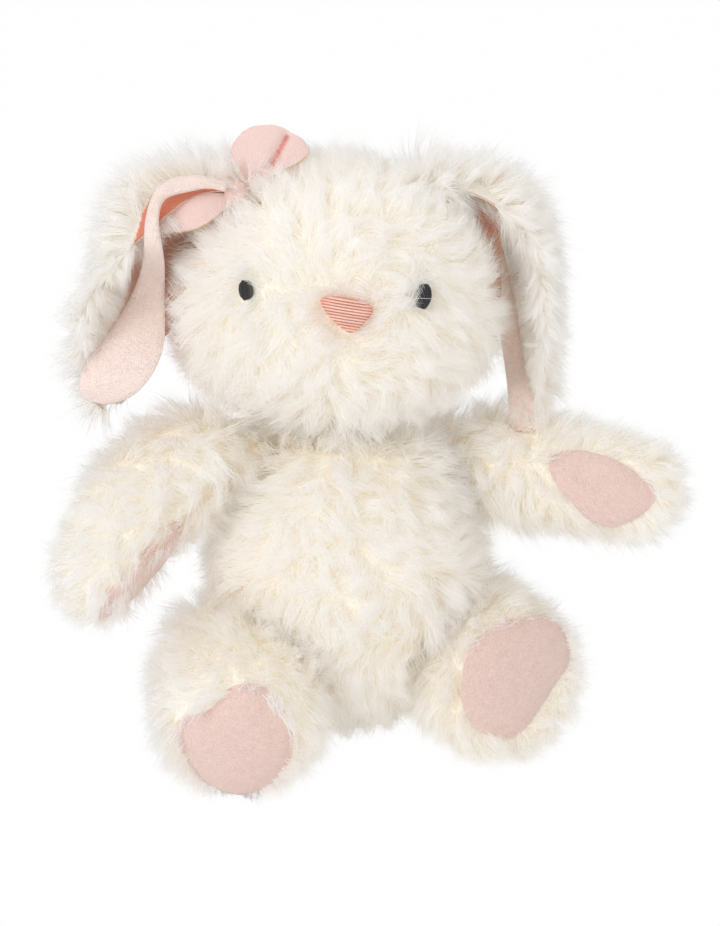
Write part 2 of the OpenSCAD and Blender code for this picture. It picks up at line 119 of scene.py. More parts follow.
# %% Socket arithmetic
class Value:
    """A number, colour or vector that flows out of a node."""

    def __init__(self, tree, socket):
        self.tree, self.socket = tree, socket

    def math(self, operation, *others):
        return self.tree.node("ShaderNodeMath", {"operation": operation},
                              dict(enumerate((self, *others))))

    def __add__(self, other):
        return self.math("ADD", other)

    def __sub__(self, other):
        return self.math("SUBTRACT", other)

    def __rsub__(self, other):
        return self.tree.node("ShaderNodeMath", {"operation": "SUBTRACT"}, {0: other, 1: self})

    def __mul__(self, other):
        return self.math("MULTIPLY", other)

    __radd__, __rmul__ = __add__, __mul__

    def ramp(self, low, high):
        """0 below low, 1 above high, and smooth between them."""
        return self.tree.node("ShaderNodeMapRange", {"interpolation_type": "SMOOTHSTEP"},
                              {"Value": self, "From Min": low, "From Max": high})


class Finish:
    """A material under construction: a Principled shader and the nodes that feed it."""

    def __init__(self, name, **fixed):
        self.material = bpy.data.materials.new(name)
        self.material.use_nodes = True
        self.nodes, self.links = self.material.node_tree.nodes, self.material.node_tree.links
        self.shader = self.nodes["Principled BSDF"]
        for socket, value in fixed.items():
            self.shader.inputs[socket.replace("_", " ")].default_value = value

    def node(self, kind, settings=None, inputs=None, out=0):
        made = self.nodes.new(kind)
        for key, value in (settings or {}).items():
            setattr(made, key, value)
        for key, value in (inputs or {}).items():
            self.put(made.inputs[key], value)
        return Value(self, made.outputs[out])

    def put(self, socket, value):
        if isinstance(value, Value):
            self.links.new(value.socket, socket)
        else:
            socket.default_value = value

    def set(self, **sockets):
        for key, value in sockets.items():
            self.put(self.shader.inputs[key.replace("_", " ")], value)
        return self

    def noise(self, scale, detail=2.0, rough=0.5):
        """Cloudy noise over the object; scale is its grains per metre."""
        place = self.node("ShaderNodeTexCoord", out="Object")
        return self.node("ShaderNodeTexNoise", {}, {
            "Vector": place, "Scale": scale, "Detail": detail, "Roughness": rough})

    def stored(self, name):
        """A number that the mesh carries on its points."""
        return self.node("ShaderNodeAttribute", {"attribute_name": name}, out="Fac")

    def mix(self, share, a, b):
        """Colours a and b mixed by a share."""
        return self.node("ShaderNodeMix", {"data_type": "RGBA"}, {0: share, 6: a, 7: b}, out=2)

    def bump(self, height, deep):
        return self.node("ShaderNodeBump", {}, {"Height": height, "Distance": deep})

    def facing(self, blend):
        """0 where a surface is seen square on, rising to 1 at its edge."""
        return self.node("ShaderNodeLayerWeight", {}, {"Blend": blend}, out=1)

    def mixed_with(self, share, other):
        """The output becomes a mix of the Principled shader and another."""
        both = self.node("ShaderNodeMixShader", {}, {
            0: share, 1: Value(self, self.shader.outputs[0]), 2: other})
        self.put(self.nodes["Material Output"].inputs["Surface"], both)
        return self


def rgb(*srgb):
    """A colour as seen in the photograph, 0 to 255, made linear for the shader."""
    linear = [(c / 255 / 12.92 if c <= 10 else ((c / 255 + 0.055) / 1.055) ** 2.4) for c in srgb]
    return (*linear, 1.0)


# %% [markdown]
# ## Skins
# Under its pile the toy is a set of stuffed bags. Each could be a scaled ball, but the panels
# already say where every bag bulges and where the limbs press into it. So the panels and their
# stuffing are fused with a voxel remesh, drawn in a little, and blown up again by the cloth
# simulation, which rounds them the way stuffing rounds a sewn skin.

# %% Mesh helpers
def unit(v):
    return v / np.maximum(np.linalg.norm(v, axis=-1, keepdims=True), 1e-12)


def solid(name, points, faces, finish, smooth=True):
    """A mesh object with one material."""
    mesh = bpy.data.meshes.new(name)
    mesh.from_pydata([tuple(p) for p in points], [], [tuple(int(i) for i in f) for f in faces])
    mesh.materials.append(finish)
    mesh.polygons.foreach_set("use_smooth", [smooth] * len(mesh.polygons))
    made = bpy.data.objects.new(name, mesh)
    bpy.context.scene.collection.objects.link(made)
    return made


def applied(obj):
    """Modifiers become mesh."""
    graph = bpy.context.evaluated_depsgraph_get()
    graph.update()
    mesh = bpy.data.meshes.new_from_object(obj.evaluated_get(graph))
    obj.modifiers.clear()
    old, obj.data = obj.data, mesh
    bpy.data.meshes.remove(old)
    return obj


def with_modifier(obj, kind, **settings):
    made = obj.modifiers.new(kind.lower(), kind)
    for key, value in settings.items():
        setattr(made, key, value)
    return applied(obj)


def points_of(mesh, what="co"):
    out = np.empty(len(mesh.vertices) * 3)
    mesh.vertices.foreach_get(what, out)
    return out.reshape(-1, 3)


def triangles_of(mesh):
    mesh.calc_loop_triangles()
    out = np.empty(len(mesh.loop_triangles) * 3, dtype=np.int32)
    mesh.loop_triangles.foreach_get("vertices", out)
    return out.reshape(-1, 3)


def largest_shell(points, faces):
    """Leaves out the small shells that a remesh makes in inner gaps."""
    owner = np.arange(len(points))
    while True:
        low = owner[faces].min(axis=1)
        new = owner.copy()
        for k in range(faces.shape[1]):
            np.minimum.at(new, faces[:, k], low)
        new = new[new]
        if (new == owner).all():
            break
        owner = new
    keep = owner == np.bincount(owner).argmax()
    number = np.cumsum(keep) - 1
    return points[keep], number[faces[keep[faces[:, 0]]]]


# %% [markdown]
# ## A stuffed skin
# The remesh can leave small closed shells where two panels almost touch, so only the largest
# shell is kept. It starts smaller than the bag, the cloth's pressure blows it up, and a cap on
# how far a point may move keeps it clear of its neighbours.

# %% A stuffed skin
PRESSURE, STEPS = 4, 20
SWELL_CAP = 1.6     # a point moves at most this many times the swell
ABOVE_FLOOR = 0.3 * MM


def stuffed(name, sources, finish, body, inset, swell, voxel=0.004):
    """A skin round these CAD nodes, drawn in, blown up as cloth and smoothed."""
    points, faces = [], []
    for source in sources:
        mesh = nodes[source].data
        faces += [[len(points) + i for i in f.vertices] for f in mesh.polygons]
        points += [v.co.copy() for v in mesh.vertices]
    skin = solid(name, points, faces, finish)
    with_modifier(skin, "REMESH", mode="VOXEL", voxel_size=voxel)
    quads = np.empty(len(skin.data.polygons) * 4, dtype=np.int32)
    skin.data.polygons.foreach_get("vertices", quads)
    outer = largest_shell(points_of(skin.data), quads.reshape(-1, 4))
    bpy.data.objects.remove(skin)
    skin = solid(name, *outer, finish)
    with_modifier(skin, "SMOOTH", factor=0.5, iterations=6)
    mesh = skin.data
    start = points_of(mesh)
    drawn = start - points_of(mesh, "normal") * (inset + swell)
    mesh.vertices.foreach_set("co", drawn.ravel())
    cloth = skin.modifiers.new("stuffing", "CLOTH")
    cloth.settings.use_pressure = True
    cloth.settings.uniform_pressure_force = PRESSURE
    cloth.settings.effector_weights.gravity = 0
    for step in range(1, STEPS + 1):
        bpy.context.scene.frame_set(step)
    blown = points_of(skin.evaluated_get(bpy.context.evaluated_depsgraph_get()).data)
    skin.modifiers.clear()
    bpy.context.scene.frame_set(1)
    moved = blown - drawn
    far = np.linalg.norm(moved, axis=1, keepdims=True)
    drawn += moved * np.minimum(1, SWELL_CAP * swell / np.maximum(far, 1e-9))
    drawn[:, 2] = np.maximum(drawn[:, 2], ABOVE_FLOOR)
    mesh.vertices.foreach_set("co", drawn.ravel())
    with_modifier(skin, "SMOOTH", factor=0.5, iterations=3)
    with_modifier(skin, "SUBSURF", levels=1)
    bpy.context.view_layer.update()
    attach(skin, body)
    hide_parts(*[s for s in sources if not s.endswith(("fill", "pouch", "pellets"))])
    print(name, len(skin.data.vertices), "vertices")
    return skin


# %% [markdown]
# ## Pile
# The long pile of the toy lies in wisps: hairs that lean one way and meet at their tips. Hair
# curves would be quick, but the finished model has to be a mesh. So each hair is a narrow
# ribbon of three lengths that tapers to a point. Roots are scattered over a skin, gathered
# round the nearest of a sparser set of wisps, and follow that wisp's bend. Round an eye, the
# nose or a pad, hairs that would lie over it are shortened.

# %% Smooth random fields and ribbons
def ripple(points, wavelength, seed, waves=7):
    """A smooth field between about -1 and 1."""
    rng = np.random.default_rng(seed)
    ways = unit(rng.normal(size=(waves, 3))) * rng.uniform(0.7, 1.3, (waves, 1))
    phases = rng.uniform(0, 2 * np.pi, waves)
    return np.sin(points @ ways.T * (2 * np.pi / wavelength) + phases).sum(axis=1) / waves ** 0.5


def turned(v, axis, angle):
    """Vectors turned about unit axes."""
    c, s = np.cos(angle)[:, None], np.sin(angle)[:, None]
    return (v * c + np.cross(axis, v) * s
            + axis * (np.sum(axis * v, axis=1, keepdims=True)) * (1 - c))


def scattered(mesh, per_cm2, rng):
    """Roots spread evenly over a mesh, with their normals."""
    points, normals, tris = points_of(mesh), points_of(mesh, "normal"), triangles_of(mesh)
    a, b, c = (points[tris[:, k]] for k in range(3))
    size = np.linalg.norm(np.cross(b - a, c - a), axis=1) / 2
    count = int(size.sum() * 1e4 * per_cm2)
    edges = np.cumsum(size) / size.sum()
    pick = np.searchsorted(edges, (np.arange(count) + rng.uniform(size=count)) / count)
    pick = np.minimum(pick, len(tris) - 1)
    u, v = rng.uniform(size=(2, count))
    flip = u + v > 1
    u[flip], v[flip] = 1 - u[flip], 1 - v[flip]
    share = np.stack([1 - u - v, u, v], axis=1)[:, :, None]
    return ((points[tris[pick]] * share).sum(axis=1),
            unit((normals[tris[pick]] * share).sum(axis=1)))


def nearest_wisp(roots, centres):
    tree = KDTree(len(centres))
    for i, p in enumerate(centres):
        tree.insert(p, i)
    tree.balance()
    return np.array([tree.find(p)[1] for p in roots])


def lay(points, normals, flow, swirl, seed):
    """Directions along the skin: a flow, stirred by slow swirls."""
    way = flow(points)
    way = unit(way - normals * np.sum(way * normals, axis=1, keepdims=True))
    angle = swirl * (ripple(points, 0.045, seed) + 0.6 * ripple(points, 0.017, seed + 1))
    return turned(way, normals, angle)


# %% [markdown]
# ## Places that stay bare
# Pile must not cover an eye or a pad. Cutting hairs off there would leave a hard edge, so a
# clearing only tells which points lie over it: a root inside it is dropped, and a hair that
# leans over it is made shorter until it no longer does.

# %% Clearings
class Clearing:
    """A place that the pile leaves free: a closed outline, with the room in front of it."""

    def __init__(self, ring, out, behind=0.006, grow=1.0):
        self.at, self.out, self.behind = ring.mean(axis=0), out, behind
        rel = ring - self.at
        self.u = unit(rel[0] - out * (rel[0] @ out))
        self.v = np.cross(out, self.u)
        angle = np.arctan2(rel @ self.v, rel @ self.u)
        order = np.argsort(angle)
        self.angle = angle[order]
        self.reach = np.hypot(rel @ self.u, rel @ self.v)[order] * grow

    def holds(self, points, share=1.0, level=-0.0005):
        rel = points - self.at
        angle = np.arctan2(rel @ self.v, rel @ self.u)
        edge = np.interp(angle, self.angle, self.reach, period=2 * np.pi)
        inside = np.hypot(rel @ self.u, rel @ self.v) < edge * share
        return inside & (rel @ self.out > level) & (rel @ self.out < 0.03)


# %% [markdown]
# ## A coat of ribbons
# Every hair bends with its wisp, turns a little about its own axis and drifts a little from its
# neighbours. It is two short quads and a point: three triangles in all, because there are over
# a quarter of a million of them.

# %% A coat of ribbons
RUNGS = np.array([0.0, 0.5, 1.0])
LAST = len(RUNGS) - 1
SHORTENED = 0.62    # a hair over a clearing is cut to this share, up to four times


def store(mesh, name, numbers):
    """A number on every point of a mesh, for a material to read."""
    attribute = mesh.attributes.new(name, "FLOAT", "POINT")
    attribute.data.foreach_set("value", np.asarray(numbers, dtype=np.float32))


def pile(name, body, roots, normals, flow, long, finish, seed=1, wisps=0.03, swirl=0.7, lean=1.3,
         gather=0.25, width=0.00024, clearings=(), jitter=0.75, loose=0.0013):
    """A coat of ribbons on these roots. wisps is the share of roots that lead one."""
    rng = np.random.default_rng(seed)
    for c in clearings:
        keep = ~c.holds(roots, 0.93, -c.behind)
        roots, normals = roots[keep], normals[keep]
    count = len(roots)
    lead = rng.choice(count, max(1, int(count * wisps)), replace=False)
    own = nearest_wisp(roots, roots[lead])
    c_root, c_normal = roots[lead], normals[lead]
    c_way = lay(c_root, c_normal, flow, swirl, seed)
    c_way = turned(c_way, c_normal, rng.normal(0, jitter, len(lead)))
    c_long = rng.uniform(0.8, 1.15, len(lead))
    c_lean = lean * rng.uniform(0.75, 1.1, len(lead))
    c_curl = rng.uniform(-1, 1, len(lead))
    size = c_long[own] * rng.uniform(0.78, 1.06, count) * (long(roots) if callable(long) else long)
    n, d = c_normal[own], c_way[own]
    side = np.cross(d, n)
    offset = roots - c_root[own]
    drift = rng.normal(0, loose, (count, 3))
    drift[rng.uniform(size=count) < 0.04] *= 2

    def path(t):
        half = c_lean[own] * (0.5 + 0.25 * t)
        along = (n * np.cos(half)[:, None] + d * np.sin(half)[:, None]) * (size * t)[:, None]
        along += side * (0.42 * size * c_curl[own] * t * t)[:, None]
        return c_root[own] + along + offset * (1 - gather * t ** 1.2) + drift * t

    for c in clearings:
        for _ in range(4):
            over = c.holds(path(RUNGS[1])) | c.holds(path(RUNGS[2]))
            size = np.where(over, size * SHORTENED, size)
    spin = rng.normal(0, 0.5, count)
    wide = width * rng.uniform(0.7, 1.25, count)
    points, tone = [], []
    for k, t in enumerate(RUNGS):
        bend = c_lean[own] * (0.5 + 0.5 * t)
        slope = n * np.cos(bend)[:, None] + d * np.sin(bend)[:, None]
        across = turned(unit(np.cross(slope, n)), unit(slope), spin)
        half = (wide * (1 - 0.55 * t) / 2)[:, None]
        at = path(t)
        points += [at] if k == LAST else [at - across * half, at + across * half]
        tone += [np.full(count, t)] * (1 if k == LAST else 2)
    each = len(points)
    points = np.stack(points, axis=1).reshape(-1, 3)
    points[:, 2] = np.maximum(points[:, 2], 0.0004)
    tone = np.stack(tone, axis=1).ravel()
    strip = np.array([[0, 1, 2], [1, 3, 2], [2, 3, 4]])
    tris = (np.arange(count)[:, None, None] * each + strip[None]).reshape(-1, 3)
    mesh = bpy.data.meshes.new(name)
    mesh.vertices.add(len(points))
    mesh.vertices.foreach_set("co", points.ravel())
    mesh.loops.add(tris.size)
    mesh.loops.foreach_set("vertex_index", tris.ravel().astype(np.int32))
    mesh.polygons.add(len(tris))
    mesh.polygons.foreach_set("loop_start", np.arange(0, tris.size, 3, dtype=np.int32))
    mesh.polygons.foreach_set("use_smooth", np.ones(len(tris), dtype=bool))
    mesh.update(calc_edges=True)
    mesh.materials.append(finish)
    store(mesh, "along", tone)
    store(mesh, "wisp", np.repeat(rng.uniform(0, 1, len(lead))[own], each))
    made = bpy.data.objects.new(name, mesh)
    bpy.context.scene.collection.objects.link(made)
    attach(made, body)
    print(name, count, "hairs in", len(lead), "wisps")
    return made


# %% [markdown]
# ## Finishes
# The pile is creamy white and slightly see-through, so its depths look yellower than its tips.
# A ramp along each hair paints that in, a painted shade that is yellower at the root, and each
# wisp is a shade warmer or cooler than the next. Velour is a short nap: it looks paler at a slant,
# where its ends catch the light, and this is painted into its colour as a painted sheen. Felt is a
# matt mat of fibres, and thread has a soft shine.

# %% Pile, skin and fibre
def pile_finish(name, tip, deep, cool):
    made = Finish(name, Roughness=0.75, Sheen_Weight=0.15, Sheen_Roughness=0.5)
    height = made.stored("along").ramp(0.0, 0.75)
    tips = made.mix(made.stored("wisp"), tip, cool)
    patch = made.noise(38, 2).ramp(0.42, 0.68) * 0.25
    # painted shade: each hair runs from the yellower deep colour at its root to its tip colour
    colour = made.mix(patch, made.mix(height, deep, tips), deep)
    glow = made.node("ShaderNodeBsdfTranslucent", {}, {"Color": colour})
    return made.set(Base_Color=colour).mixed_with(0.5, glow).material


cream_pile = pile_finish("cream_pile", rgb(254.6, 254.25, 254.2), rgb(254, 252.5, 249.2),
                         rgb(254.8, 254.2, 253.6))

backing = Finish("knitted_backing", Roughness=0.9)
knit = backing.noise(900, 1)
backing.set(Base_Color=backing.mix(knit.ramp(0.4, 0.6), rgb(244, 236, 218), rgb(250, 245, 234)),
            Normal=backing.bump(knit, 0.0004))
backing = backing.material


def fibre_finish(name, light, dark, scale):
    made = Finish(name, Roughness=0.8)
    strands = made.noise(scale, 4, 0.7)
    return made.set(Base_Color=made.mix(strands.ramp(0.35, 0.65), dark, light),
                    Normal=made.bump(strands, 0.001)).material


inside = {
    "fill": fibre_finish("polyester_fibre", rgb(250, 250, 248), rgb(236, 236, 232), 400),
    "pellet_pouch": fibre_finish("woven_pouch", rgb(240, 240, 236), rgb(222, 222, 216), 1500),
    "pellets": fibre_finish("plastic_pellets", rgb(226, 226, 222), rgb(190, 190, 186), 300)}
for part, made in nodes.items():
    for ending, finish in inside.items():
        if part.endswith(ending):
            made.data.materials.clear()
            made.data.materials.append(finish)
print("inner finishes", [finish.name for finish in inside.values()])

# %% Velour, felt and thread
def velour_finish(name, nap, pressed, second=None):
    """Velour with pressed patches. second is a stored mark, and the colour where it is 1."""
    made = Finish(name, Roughness=0.85, Sheen_Weight=0.35, Sheen_Roughness=0.45)
    grain, marks = made.noise(1800, 2), made.noise(420, 3)
    tone = marks.ramp(0.35, 0.7) * 0.25 + grain.ramp(0.38, 0.62) * 0.55
    colour = made.mix(tone, nap, pressed)
    # painted sheen: the velour is painted paler where it is seen at a slant
    colour = made.mix(made.facing(0.35) * 0.5, colour, rgb(250, 232, 226))
    if second:
        colour = made.mix(made.stored(second[0]), colour, second[1])
    return made.set(Base_Color=colour, Normal=made.bump(grain * 0.7 + marks * 0.3, 0.0011)).material


pink_velour = velour_finish("pink_velour", rgb(244, 216, 207), rgb(232, 196, 184))
lining_velour = velour_finish("lining_velour", rgb(248, 210, 194), rgb(234, 182, 162),
                              ("covered", rgb(250, 245, 234)))
# a darker copy of the lining velour, painted shade for the folded half in the pocket; its stored
# pocket mark paints a deeper red of shade
shade_painted_velour = velour_finish("shaded_velour", rgb(226, 178, 152), rgb(206, 152, 124),
                            ("pocket_shade", rgb(226, 122, 92)))
# a paler copy of the lining velour: painted light on the rolled ridge
edge_velour_painted_light = velour_finish("edge_velour_painted_light", rgb(255, 237, 229), rgb(250, 221, 209))
# its stored pocket mark paints the dark red shade of the pocket onto the back cloth
ear_backing = velour_finish("ear_backing", rgb(250, 245, 234), rgb(244, 236, 218),
                            ("pocket_shade", rgb(230, 136, 106)))

felt = Finish("pink_felt", Roughness=0.95, Sheen_Weight=0.2)
mat = felt.noise(2400, 4, 0.7)
blush = felt.mix(mat.ramp(0.35, 0.65), rgb(247, 220, 213), rgb(242, 208, 200))
gold = felt.mix(mat.ramp(0.4, 0.6), rgb(232, 196, 120), rgb(246, 222, 160))
# painted shade: the stored crease mark darkens the felt to deep red along the crease
blush = felt.mix(felt.stored("fold").ramp(0.35, 1.0) * 0.75, blush, rgb(226, 128, 108))
felt.set(Base_Color=felt.mix(felt.stored("edge").ramp(0.2, 0.6), blush, gold),
         Normal=felt.bump(mat, 0.0003))
felt = felt.material


def thread_finish(name, colour, shade, rough):
    """Thread: each strand is a little lighter or darker, with the twist of its plies."""
    made = Finish(name, Roughness=rough, Sheen_Weight=0.1)
    ply = made.noise(2600, 1)
    tone = made.stored("strand") * 0.6 + ply.ramp(0.3, 0.7) * 0.4
    return made.set(Base_Color=made.mix(tone, colour, shade), Normal=made.bump(ply, 0.0001)).material


black_thread = thread_finish("black_thread", rgb(10, 10, 12), rgb(56, 56, 60), 0.6)
pink_thread = thread_finish("pink_thread", rgb(248, 208, 192), rgb(238, 180, 160), 0.5)
# the nose's ground: a darker copy of the pink thread, painted shade between the rows
pink_thread_painted_shade = thread_finish("pink_thread_shade", rgb(222, 146, 116), rgb(208, 126, 98), 0.6)
print("finishes", [finish.name for finish in bpy.data.materials])

# %% [markdown]
# ## The stuffed bags
# One skin to a body, so that a limb turns whole and its pile closes over the seam. The head's
# is blown up most, because it is the fullest.

# %% Skins of torso, neck, head, arms, legs and tail
skins = {
    "torso": stuffed("torso_skin", ["torso_front_panel", "torso_back_left_panel",
                                    "torso_back_right_panel", "base_panel", "torso_fill",
                                    "pellet_pouch", "pellets"],
                     backing, "torso", 0.0, 1.0 * MM),
    "neck": stuffed("neck_skin", ["neck_fill"], backing, "neck", 0.4 * MM, 0.4 * MM, 0.002),
    "head": stuffed("head_skin", ["face_panel", "head_left_panel", "head_right_panel",
                                  "head_back_panel", "head_fill"],
                    backing, "head", 0.5 * MM, 1.2 * MM),
    "tail": stuffed("tail_skin", ["tail_cover", "tail_fill"], backing, "tail", 1.0 * MM, 0.4 * MM,
                    0.0025),
}
for side in ("left", "right"):
    arm, leg = f"{side}_arm_", f"{side}_leg_"
    skins["arm_" + side] = stuffed(
        arm + "skin", [arm + "outer_panel", arm + "inner_panel", arm + "pad", arm + "fill"],
        backing, "arm_" + side, 0.4 * MM, 0.8 * MM, 0.003)
    skins["leg_" + side] = stuffed(
        leg + "skin", [leg + "upper_panel", leg + "lower_panel", leg + "sole", leg + "fill"],
        backing, "leg_" + side, -2.0 * MM, 0.8 * MM, 0.003)

# %% [markdown]
# ## Fuller cheeks, and a torso that sits
# The pressure rounds a bag evenly, but this head is widest low down, at its cheeks, and the
# belly's front edge tucks in over the seat. Both are moved in code, by a smooth share of a few
# millimetres, because the panels underneath stay as the construction model has them.

# %% Fuller cheeks, and a torso that sits
CHEEK_HIGH, CHEEK_REACH, CHEEKS_OUT = 0.131, 0.019, 4.8
TUCK_HIGH, TUCK_BACK = 0.022, 9
sideways = np.array([math.cos(VIEW_TURN), math.sin(VIEW_TURN), 0])


def cheeks(p):
    """Moves the low sides of the head outwards, as seen from the camera."""
    wide = (p - [-0.003, 0, 0]) @ sideways
    share = np.clip((np.abs(wide) - 0.014) / 0.024, 0, 1) * np.exp(
        -((p[:, 2] - CHEEK_HIGH) / CHEEK_REACH) ** 2)
    p += (np.sign(wide) * share)[:, None] * sideways * CHEEKS_OUT * MM


def tuck(p):
    """Moves the low front of the torso back."""
    low = np.clip(1 - p[:, 2] / TUCK_HIGH, 0, 1) * np.clip(-p[:, 1] / 0.02, 0, 1)
    p[:, 1] += low * TUCK_BACK * MM


for body, reshape, most in (("head", cheeks, CHEEKS_OUT), ("torso", tuck, TUCK_BACK)):
    p = points_of(skins[body].data)
    reshape(p)
    skins[body].data.vertices.foreach_set("co", p.ravel())
    skins[body].data.update()
    print(body, "reshaped by up to", most, "mm")

# %% [markdown]
# ## What the photograph places
# Eyes, nose, bow, pads and soles are drawn in the photograph as outlines. Each outline point is
# a line of sight. Where it meets the head, or the flat end of a limb, is a point of the seam.

# %% Outlines from lines of sight
def middle(name):
    return points_of(nodes[name].data).mean(axis=0)


def tree_of(*names):
    """A search tree over CAD nodes."""
    points, faces = [], []
    for name in names:
        mesh = nodes[name].data
        faces += [[len(points) + i for i in f.vertices] for f in mesh.polygons]
        points += [v.co.copy() for v in mesh.vertices]
    return BVHTree.FromPolygons(points, faces)


def meet(tree, x, y):
    """Where a line of sight meets a surface, or comes nearest to it."""
    start, way = ray(x, y)
    at = tree.ray_cast(start, way)[0]
    if at is None:
        steps = [start + way * (VIEW_FAR - 0.15 + 0.002 * k) for k in range(150)]
        at = min((tree.find_nearest(p) for p in steps), key=lambda found: found[3])[0]
    return np.array(at)


def on_plane(x, y, at, out):
    """Where a line of sight meets a plane."""
    start, way = (np.array(v) for v in ray(x, y))
    return start + way * (((at - start) @ out) / (way @ out))


def smooth_ring(corners, count=56):
    """A closed smooth curve through corners, at even steps."""
    corners = np.asarray(corners, dtype=float)
    knots = np.vstack([corners[-1:], corners, corners[:2]])
    t = np.arange(0, len(corners), 0.05)
    k, f = t.astype(int), (t % 1)[:, None]
    a, b, c, d = (knots[k + j] for j in range(4))
    ring = 0.5 * (2 * b + (c - a) * f + (2 * a - 5 * b + 4 * c - d) * f ** 2
                  + (3 * b - a - 3 * c + d) * f ** 3)
    ring = np.vstack([ring, ring[:1]])
    run = np.append(0, np.cumsum(np.linalg.norm(np.diff(ring, axis=0), axis=1)))
    even = np.linspace(0, run[-1], count, endpoint=False)
    return np.stack([np.interp(even, run, ring[:, k]) for k in range(ring.shape[1])], axis=1)


face_tree = tree_of("face_panel", "head_left_panel", "head_right_panel", "head_back_panel")


def facing_out(ring):
    """Unit normal of a ring of points, towards the camera."""
    rel = ring - ring.mean(axis=0)
    out = np.linalg.svd(rel)[2][2]
    return out if out @ np.array(back) > 0 else -out


# %% [markdown]
# ## Eyes and nose
# They are embroidered. A painted oval would do from afar, but close up one sees satin stitch:
# threads side by side over a low pad. So each thread is a tube that rises from the cloth on one
# side of the outline and goes back in on the other, over a crowned base.

# %% Crowned bases and rows of thread
def crowned(name, ring, out, crown, sink, finish, body, rings=10, rim=0.0015, dents=(), round_off=2.0):
    """A closed pad over a ring of points: it rises by crown in its middle and sinks at its rim."""
    at, count = ring.mean(axis=0), len(ring)
    shares = np.sin(np.linspace(0.12, 1, rings) * np.pi / 2)
    points = [at + out * crown]
    for s in shares:
        lift = crown * (1 - s ** round_off) - rim * s ** 8
        layer = at + (ring - at) * s + out * lift
        for spot, deep, reach in dents:
            far = np.linalg.norm(layer - spot, axis=1) / reach
            layer = layer - out * (deep * np.exp(-far ** 2))[:, None]
        points.extend(layer)
    points.extend(at + (ring - at) * 0.93 - out * sink)
    points.append(at - out * sink)
    faces = [(0, 1 + j, 1 + (j + 1) % count) for j in range(count)]
    for i in range(rings):
        a = 1 + i * count
        faces += [(a + j, a + count + j, a + count + (j + 1) % count, a + (j + 1) % count)
                  for j in range(count)]
    last = 1 + rings * count
    faces += [(len(points) - 1, last + (j + 1) % count, last + j) for j in range(count)]
    made = solid(name, points, faces, finish)
    made.data.update()
    if points_of(made.data, "normal")[0] @ out < 0:
        made.data.flip_normals()
    bpy.context.view_layer.update()
    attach(made, body)
    return made


def threads(name, paths, radius, finish, body, sides=6):
    """Round threads, one along each path, that narrow where they enter the cloth."""
    points, faces, strand = [], [], []
    tint = np.random.default_rng(len(paths)).uniform(0, 1, len(paths))
    for number, path in enumerate(paths):
        tangent = unit(np.gradient(path, axis=0))
        side = unit(np.cross(tangent, np.array(back)))
        up = np.cross(side, tangent)
        steps = np.linspace(0, 1, len(path))
        thick = radius * np.minimum(1, 0.45 + 4 * np.minimum(steps, 1 - steps))
        first = len(points)
        for k in range(len(path)):
            for a in np.arange(sides) * 2 * np.pi / sides:
                points.append(path[k] + thick[k] * (side[k] * math.cos(a) + up[k] * math.sin(a)))
        faces += [(first + k * sides + j, first + k * sides + (j + 1) % sides,
                   first + (k + 1) * sides + (j + 1) % sides, first + (k + 1) * sides + j)
                  for k in range(len(path) - 1) for j in range(sides)]
        ends = first + (len(path) - 1) * sides
        faces += [tuple(first + j for j in reversed(range(sides))),
                  tuple(ends + j for j in range(sides))]
        strand += [tint[number]] * (len(path) * sides)
    made = solid(name, points, faces, finish)
    store(made.data, "strand", strand)
    bpy.context.view_layer.update()
    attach(made, body)
    return made


# %% [markdown]
# ## The eyes
# Each eye stands a little proud of the cloth, so that the pile round it doesn't swallow it. It
# leans with the head, and its stitches run up and down and bulge in the middle.

# %% The eyes
clearings = []
EYE_LIFT = 2.6 * MM
for name, x, y, wide, high, lean in (("right_eye", 247.8, 290, 4.1, 10.2, 0.08),
                                     ("left_eye", 421.5, 296, 5.3, 12.6, -0.12)):
    turns = np.linspace(0, 2 * np.pi, 32, endpoint=False)
    oval = [meet(face_tree, x + wide * math.cos(a) - lean * high * math.sin(a),
                 y - high * math.sin(a)) for a in turns]
    ring = np.array(oval)
    out = facing_out(ring)
    base = crowned(name + "_pad", ring + out * EYE_LIFT, out, 1.0 * MM, 3.4 * MM, black_thread,
                   "head", rim=0.3 * MM)
    store(base.data, "strand", np.zeros(len(base.data.vertices)))
    paths = []
    for row in np.linspace(-0.94, 0.94, 11):
        half = high * math.sqrt(1 - row ** 2) * (1 + 0.05 * math.sin(row * 23))
        path = []
        for t in np.linspace(-1, 1, 9):
            p = meet(face_tree, x + wide * row + lean * t * half, y + t * half)
            rise = EYE_LIFT + 1.05 * MM * (1 - min(1, row ** 2 + (t * half / high) ** 2)) ** 0.8
            path.append(p + out * (rise - 0.5 * MM * abs(t) ** 12))
        paths.append(np.array(path))
    eye = threads(name + "_stitches", paths, 0.17 * MM, black_thread, "head")
    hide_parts(name)
    clearings.append(Clearing(ring, out, grow=1.3))
    print(name, "stitches", len(paths), "faces", out.round(2))
